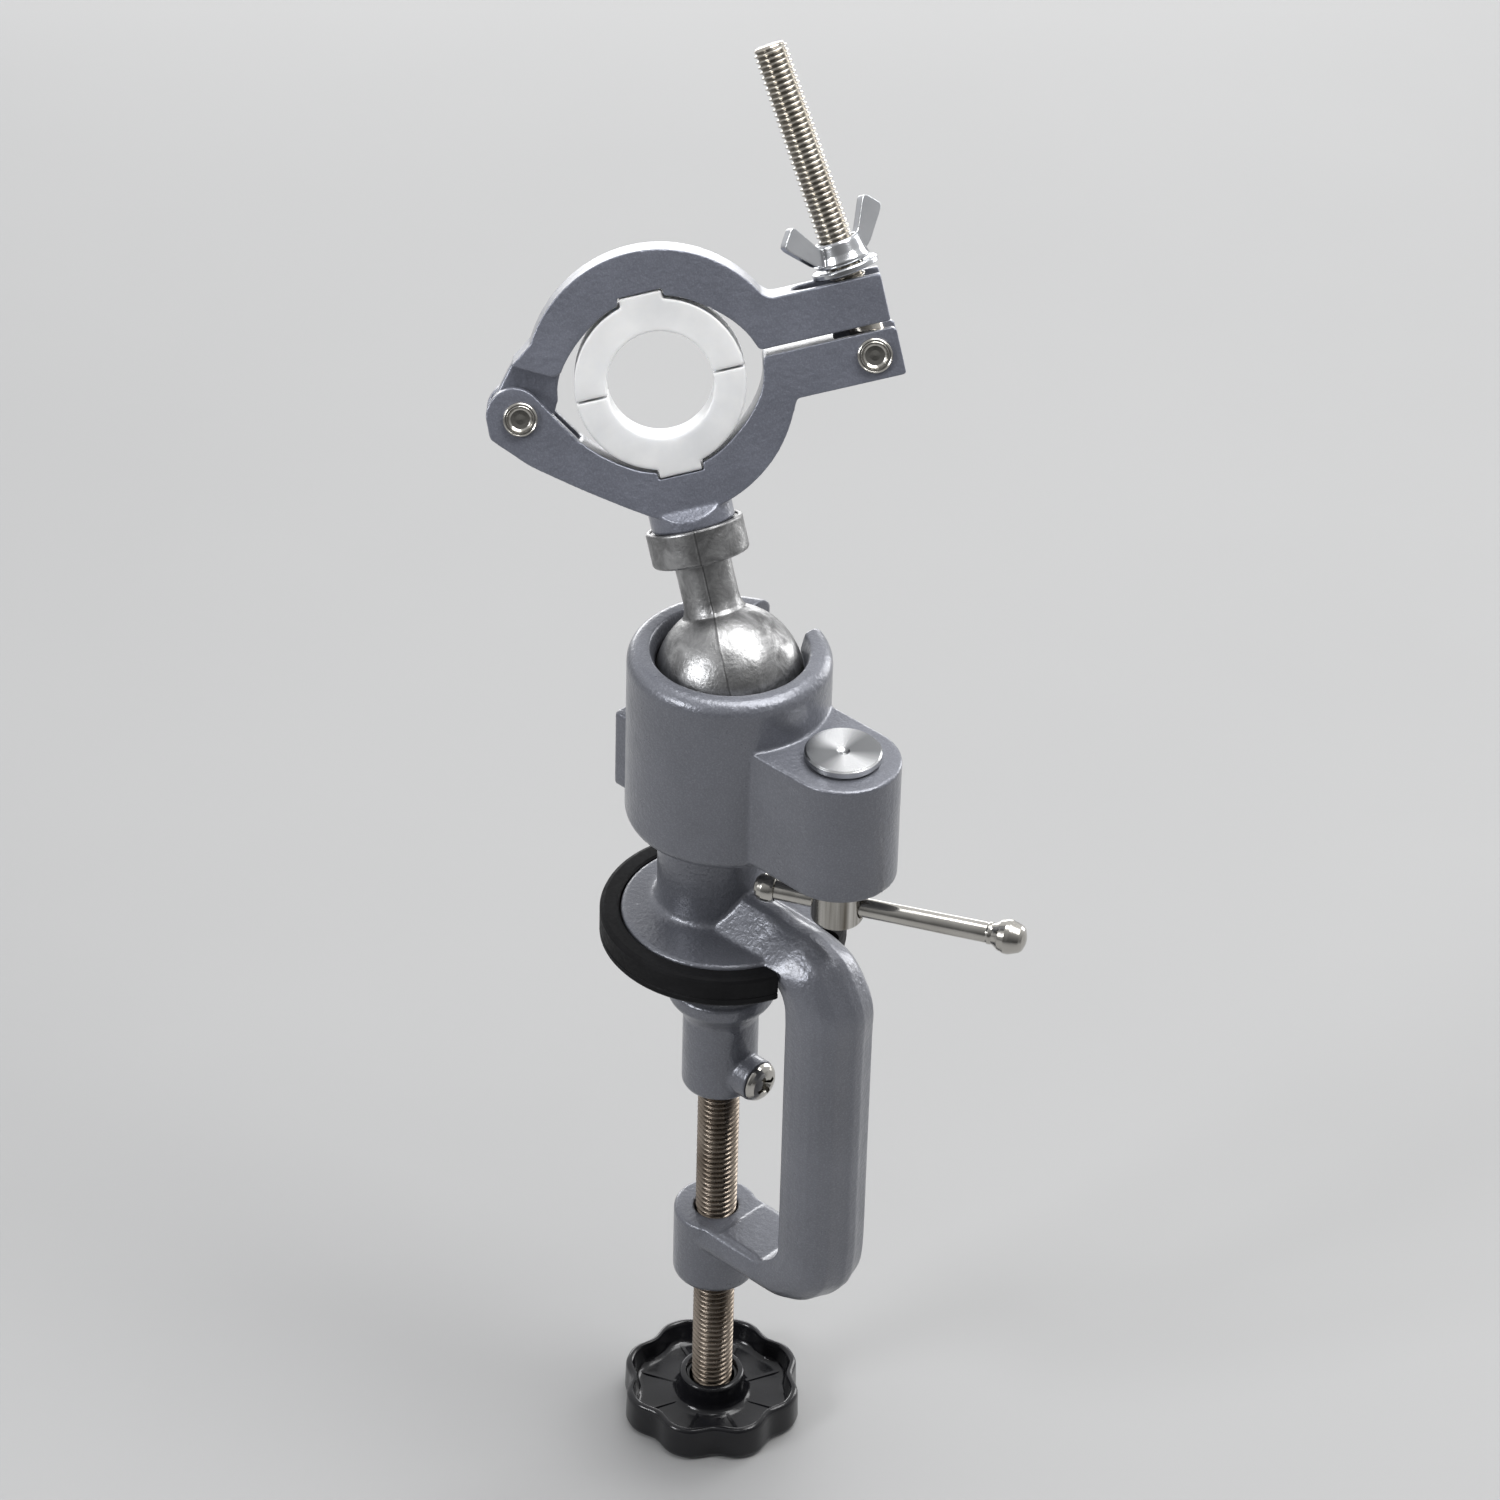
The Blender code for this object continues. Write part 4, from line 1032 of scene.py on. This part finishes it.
def lower_jaw_outline():
    bore = bore_arc(-178.0, -2.0)
    right = [p for p in bore if p[0] > 5.3]
    left = [p for p in bore if p[0] < -5.3 and p[1] < -8.8]
    ear = [(-8.9, -28.7), (-13.2, -25.9), (-22.9, -19.0), (-32.6, -11.4), (-39.9, -3.5),
           (-39.6, 2.9), (-36.6, 6.1), (-32.4, 7.0), (-29.0, 5.2), (-27.0, 2.0),
           (-24.6, -2.1), (-21.2, -7.4), (-20.6, -8.6)]
    ear_radii = [0, 3.0, 6.0, 2.0, 0.9, 2.0, 3.0, 3.0, 3.0, 2.0, 2.0, 0.5, 0]
    return (rounded([(23.35, -0.9), (23.7, 0.9), (27.0, 0.9)], [0, 1.6, 0], 7)[1:]
            + rounded([(51.0, 0.9), (53.7, 0.9), (54.1, 0.2), (54.1, -9.7), (53.4, -10.05),
                       (40.0, -10.0)], 0.3, 3)[1:-1]
            + rounded([(33.0, -10.0), (29.1, -10.0), (28.4, -11.2), (27.9, -12.4)], 0.5, 4)
            + arc(0, 0, JAW_RADIUS, -25.5, -104.0, 60) + rounded(ear, ear_radii, 6)
            + left + notch_points(-1) + right)


def jaw_boss():
    """The boss grows out of the jaw's rim: its two faces across the bore lean out from the
    ring's faces to the full round."""
    boss = turned("jaw_boss_form", [(0, 26.0), (9.6, 26.0), (9.6, 33.3), (9.4, 33.55),
                                    (0, 33.55)])
    place(boss, Matrix.Rotation(math.radians(90), 4, "X"))
    lean = extrude("jaw_boss_lean", [
        (-6.8, -25.0), (6.8, -25.0), (6.8, -28.9), (9.75, -31.4), (9.75, -34.5),
        (-9.75, -34.5), (-9.75, -31.4), (-6.8, -28.9)], -12.0, 12.0)
    place(lean, Matrix(((0, 0, 1, 0), (0, 1, 0, 0), (-1, 0, 0, 0), (0, 0, 0, 1))))
    boolean(boss, [lean], "INTERSECT")
    return boss


def lower_jaw():
    jaw = extrude("lower_jaw_casting", lower_jaw_outline(), -JAW_HALF, JAW_HALF)
    boolean(jaw, [jaw_boss()], "UNION")
    boolean(jaw, [
        block("ear_slot_form", (-46, -9.0, -3.3), (-19.0, 16, 3.3)),
        block("bolt_slot_form", (40.0, -16, -4.5), (60, 4, 4.5)),
        hinge_bore_form(),
        rod("pivot_bore_form", (*PIVOT, -12), (*PIVOT, 12), 2.8),
        rod("boss_bore_form", (0, -40, 0), (0, -15, 0), 2.4),
        rod("boss_seat_form", (0, -24.9, 0), (0, -15, 0), 4.2)], "DIFFERENCE")
    soften(jaw, 0.3, 4)
    place(jaw, RING)
    finish(jaw, RING_PAINT, "ring_base", "lower_jaw")


def rivet(name, node, centre, shaft, head):
    """A rivet across the ring with a dished, grooved head at each end."""
    under, top = JAW_HALF + 0.3, JAW_HALF + 1.15
    # Share of the head's radius, depth below its top.
    dish = [(0.3, 0.72), (0.56, 0.62), (0.66, 0.35), (0.71, 0.06), (0.77, 0.02), (0.8, 0.12),
            (0.81, 0.6), (0.87, 0.6), (0.88, 0.08), (0.92, 0), (0.97, 0.1), (1, 0.3)]
    half = [(0, top - 0.6), *[(head * share, top - depth) for share, depth in dish],
            (head, under + 0.1), (head - 0.05, under), (shaft, under)]
    obj = turned(name, half + [(radius, -z) for radius, z in half[::-1]], 64)
    place(obj, RING @ Matrix.Translation((centre[0] * MM, centre[1] * MM, 0)))
    shade(obj, 40)
    finish(obj, NICKEL, "ring_base", node)


# ------------------------------------------------------------------ swing bolt, washer, wing nut
WASHER_BASE = 19.05
NUT_BASE = WASHER_BASE + 1.9


def swing_bolt():
    bolt = threaded("swing_bolt_thread", 72.3, 4.0, major=3.95, minor=3.3, pitch=1.25,
                    plain=(9.0, 0.0, 3.9), segments=48)
    eye = rod("eye_form", (0, -4.1, 0), (0, 4.1, 0), 5.4, 64)
    bevel(eye, 0.5, 3)

    def cut_eye_hole(obj):
        boolean(obj, [rod("eye_hole_form", (0, -12, 0), (0, 12, 0), 2.8)], "DIFFERENCE")

    # The hole is cut again in the bolt, whose end reaches into the eye.
    cut_eye_hole(eye)
    boolean(bolt, [eye], "UNION")
    cut_eye_hole(bolt)
    shade(bolt, 60)
    place(bolt, BOLT)
    finish(bolt, THREAD_NICKEL, "bolt", "swing_bolt")


def spring_washer():
    # Radius, height above the washer's base.
    profile = [(4.4, 0.95), (4.55, 1.1), (6.9, 1.58), (7.45, 1.5), (7.7, 1.2), (7.7, 0.35),
               (7.4, 0.05), (7.0, 0), (4.6, 0.02), (4.4, 0.2)]
    washer = turned("spring_washer", [(radius, WASHER_BASE + z) for radius, z in profile],
                    closed=True)
    place(washer, BOLT)
    shade(washer, 40)
    finish(washer, ZINC, "washer", "nut_washer")


def wing(name, turn):
    """A wing: an even plate standing in a plane through the bolt's axis."""
    # Distance from the axis, height above the nut's base, corner radius.
    corners = [(5.0, 3.0, 0), (5.0, 1.0, 0.1), (6.4, 0.9, 0.5), (8.4, 1.9, 1.0),
               (14.2, 7.5, 0.6), (14.9, 8.6, 0.6), (14.5, 9.4, 0.6), (11.8, 12.0, 0.5),
               (11.0, 12.15, 0.5), (10.3, 11.6, 0.6), (6.5, 6.0, 1.5), (5.3, 4.9, 0.5),
               (5.0, 3.0, 0)]
    outline = rounded([corner[:2] for corner in corners], [corner[2] for corner in corners], 5)
    plate = extrude(name, [(x, NUT_BASE + z) for x, z in outline[:-1]], -1.0, 1.0)
    bevel(plate, 0.32, 2, angle=50)
    place(plate, Matrix.Rotation(turn, 4, "Z") @ Matrix.Rotation(math.radians(90), 4, "X"))
    return plate


def wing_nut():
    # Radius, height above the nut's base.
    height = 5.6
    profile = [(4.25, height - 0.5), (4.5, height - 0.05), (4.8, height), (5.1, height - 0.15),
               (5.35, height - 0.6), (5.75, 2.6), (6.1, 1.5), (6.3, 1.0), (6.3, 0.5),
               (6.1, 0.1), (5.8, 0), (4.3, 0)]
    nut = turned("wing_nut_pressing", [(radius, NUT_BASE + z) for radius, z in profile], 72,
                 closed=True)
    turn = math.radians(39.0)
    boolean(nut, [wing("wing_%d" % k, turn + math.pi * k) for k in (0, 1)], "UNION")
    soften(nut, 0.14, 3)
    place(nut, BOLT)
    finish(nut, ZINC, "nut", "wing_nut")


# ------------------------------------------------------------------ reducer sleeve
def sleeve(name, sign, node, body):
    """Half a sleeve with a key for the jaw's notch; sign is its side of the joint line."""
    outer_radius, inner_radius, key_radius, key_half, half_gap = 19.3, 12.0, 20.7, 4.8, 0.25
    outer_start = math.degrees(math.asin(half_gap / outer_radius))
    inner_start = math.degrees(math.asin(half_gap / inner_radius))
    outer = arc(0, 0, outer_radius, outer_start, 180 - outer_start, 120)
    inner = arc(0, 0, inner_radius, inner_start, 180 - inner_start, 80)
    key_y = math.sqrt(outer_radius ** 2 - key_half ** 2)
    points = ([p for p in outer if p[0] > 4.9]
              + [(key_half, key_y), (key_half, key_radius), (-key_half, key_radius),
                 (-key_half, key_y)]
              + [p for p in outer if p[0] < -4.9] + inner[::-1])
    if sign < 0:
        points = [(x, -y) for x, y in points][::-1]
    half = extrude(name, points, -JAW_HALF, JAW_HALF)
    soften(half, 0.28, 3)
    place(half, RING)
    finish(half, SLEEVE_PLASTIC, body, node)


# ------------------------------------------------------------------ stage, camera and lights
def floor():
    mesh = bmesh.new()
    bmesh.ops.create_grid(mesh, x_segments=2, y_segments=2, size=6.0)
    ground = to_object("floor", mesh)
    ground.location.z = CAD_BOX[0][2] - 0.0004
    # The floor keeps its distance from the knob when the screw is run down or up.
    follow = ground.constraints.new("COPY_LOCATION")
    follow.target = frame["bodies"]["foot"]
    follow.use_x = follow.use_y = False
    follow.use_offset = True
    mat = new_shader("pale_floor")
    tone = mat.ramp(mat.noise(mat.coords(), scale=3.0), (0.3, 0.31), (0.7, 0.325))
    ground.data.materials.append(mat.surface({"Base Color": tone, "Roughness": 0.7}))


def studio_world():
    """Bright behind the object and overhead, dim on the camera's side."""
    SCENE.world = bpy.data.worlds.new("studio")
    SCENE.view_settings.view_transform = "Standard"
    sky = Shader(SCENE.world)
    direction = sky.node("TexCoord", {}).outputs["Generated"]
    facing = sky.node("VectorMath", {0: direction, 1: (-0.62, 0.69, 0.37)},
                      operation="DOT_PRODUCT").outputs["Value"]
    share = sky.node("MapRange", {"From Min": -1.0, "From Max": 1.0,
                                  "Value": facing}).outputs["Result"]
    ramp = sky.node("ValToRGB", {"Fac": share})
    elements = ramp.color_ramp.elements
    elements.new(0.40)
    elements.new(0.60)
    # The second stop is moved past the third and stays second in the list; the fourth keeps
    # its own white at 1.
    for element, position, value in zip(elements, (0.0, 1.0, 0.60), (0.03, 1.0, 0.60)):
        element.position = position
        element.color = (value, value * 1.005, value * 1.02, 1)
    sky.feed(sky.tree.nodes["Background"], {"Strength": 1.0, "Color": ramp.outputs["Color"]})


# The view's axes: level first, then rolled a little.
LEVEL_RIGHT = Vector((0.743, 0.669, 0)).normalized()
TO_CAMERA = Vector((0.541, -0.601, 0.588))
TO_CAMERA = (TO_CAMERA - LEVEL_RIGHT * TO_CAMERA.dot(LEVEL_RIGHT)).normalized()
LEVEL_UP = TO_CAMERA.cross(LEVEL_RIGHT).normalized()
ROLL = math.asin(0.028)
VIEW_RIGHT = LEVEL_RIGHT * math.cos(ROLL) + LEVEL_UP * math.sin(ROLL)
VIEW_UP = LEVEL_UP * math.cos(ROLL) - LEVEL_RIGHT * math.sin(ROLL)
AIM = Vector((0, 0, 0.03))


def from_view(origin, back, right, up):
    """A place given in metres along the view's axes."""
    return origin + TO_CAMERA * back + VIEW_RIGHT * right + VIEW_UP * up


def camera():
    data = bpy.data.cameras.new("camera")
    data.sensor_width = 36.0
    data.lens = 144.0
    data.clip_start = 0.05
    data.clip_end = 50.0
    obj = link(bpy.data.objects.new("camera", data))
    origin = from_view(Vector((0, 0, 0)), back=1.402, right=0.006309, up=0.04229367)
    obj.matrix_world = axes_matrix(VIEW_RIGHT, VIEW_UP, TO_CAMERA, origin)
    SCENE.camera = obj


def area(name, location, size, power, target=AIM, colour=(1, 1, 1), size_y=None):
    light = bpy.data.lights.new(name, "AREA")
    light.energy = power
    light.size = size
    if size_y:
        light.shape = "RECTANGLE"
        light.size_y = size_y
    light.color = colour
    obj = link(bpy.data.objects.new(name, light))
    obj.location = location
    aim = Vector(target) - Vector(location)
    obj.rotation_euler = aim.to_track_quat("-Z", "Y").to_euler()


def lights():
    area("key", from_view(AIM, back=0.9, right=0.75, up=0.8), size=0.4, power=5.0)
    area("fill", from_view(AIM, back=0.9, right=-1.0, up=0.2), size=0.4, power=8.5,
         colour=(0.97, 0.98, 1.0))
    area("top", (0.1, 0.25, 1.1), size=0.8, power=12.0)
    area("rim", from_view(AIM, back=-0.5, right=0.9, up=0.6), size=0.4, power=6.0, size_y=0.9)
    area("back_card", (-0.80, 0.72, 0.02), target=(0, 0, 0.12), size=0.9, power=4.0,
         size_y=0.3)


# ------------------------------------------------------------------ build
holder_casting()
rubber_pad()
dress_internal_pieces()
ball_stem()
lock_pin()
lock_nut()
t_bar()
t_bar_cap()
clamp_screw()
pressure_foot()
retaining_screw()
hand_knob()
upper_jaw()
lower_jaw()
rivet("hinge_rivet", "hinge_pin", HINGE, shaft=3.0, head=3.9)
rivet("pivot_rivet", "bolt_pivot_pin", PIVOT, shaft=2.5, head=4.0)
swing_bolt()
spring_washer()
wing_nut()
sleeve("sleeve_half_upper", 1, "sleeve_upper", "sleeve_top")
sleeve("sleeve_half_lower", -1, "sleeve_lower", "sleeve_low")
floor()
studio_world()
camera()
lights()
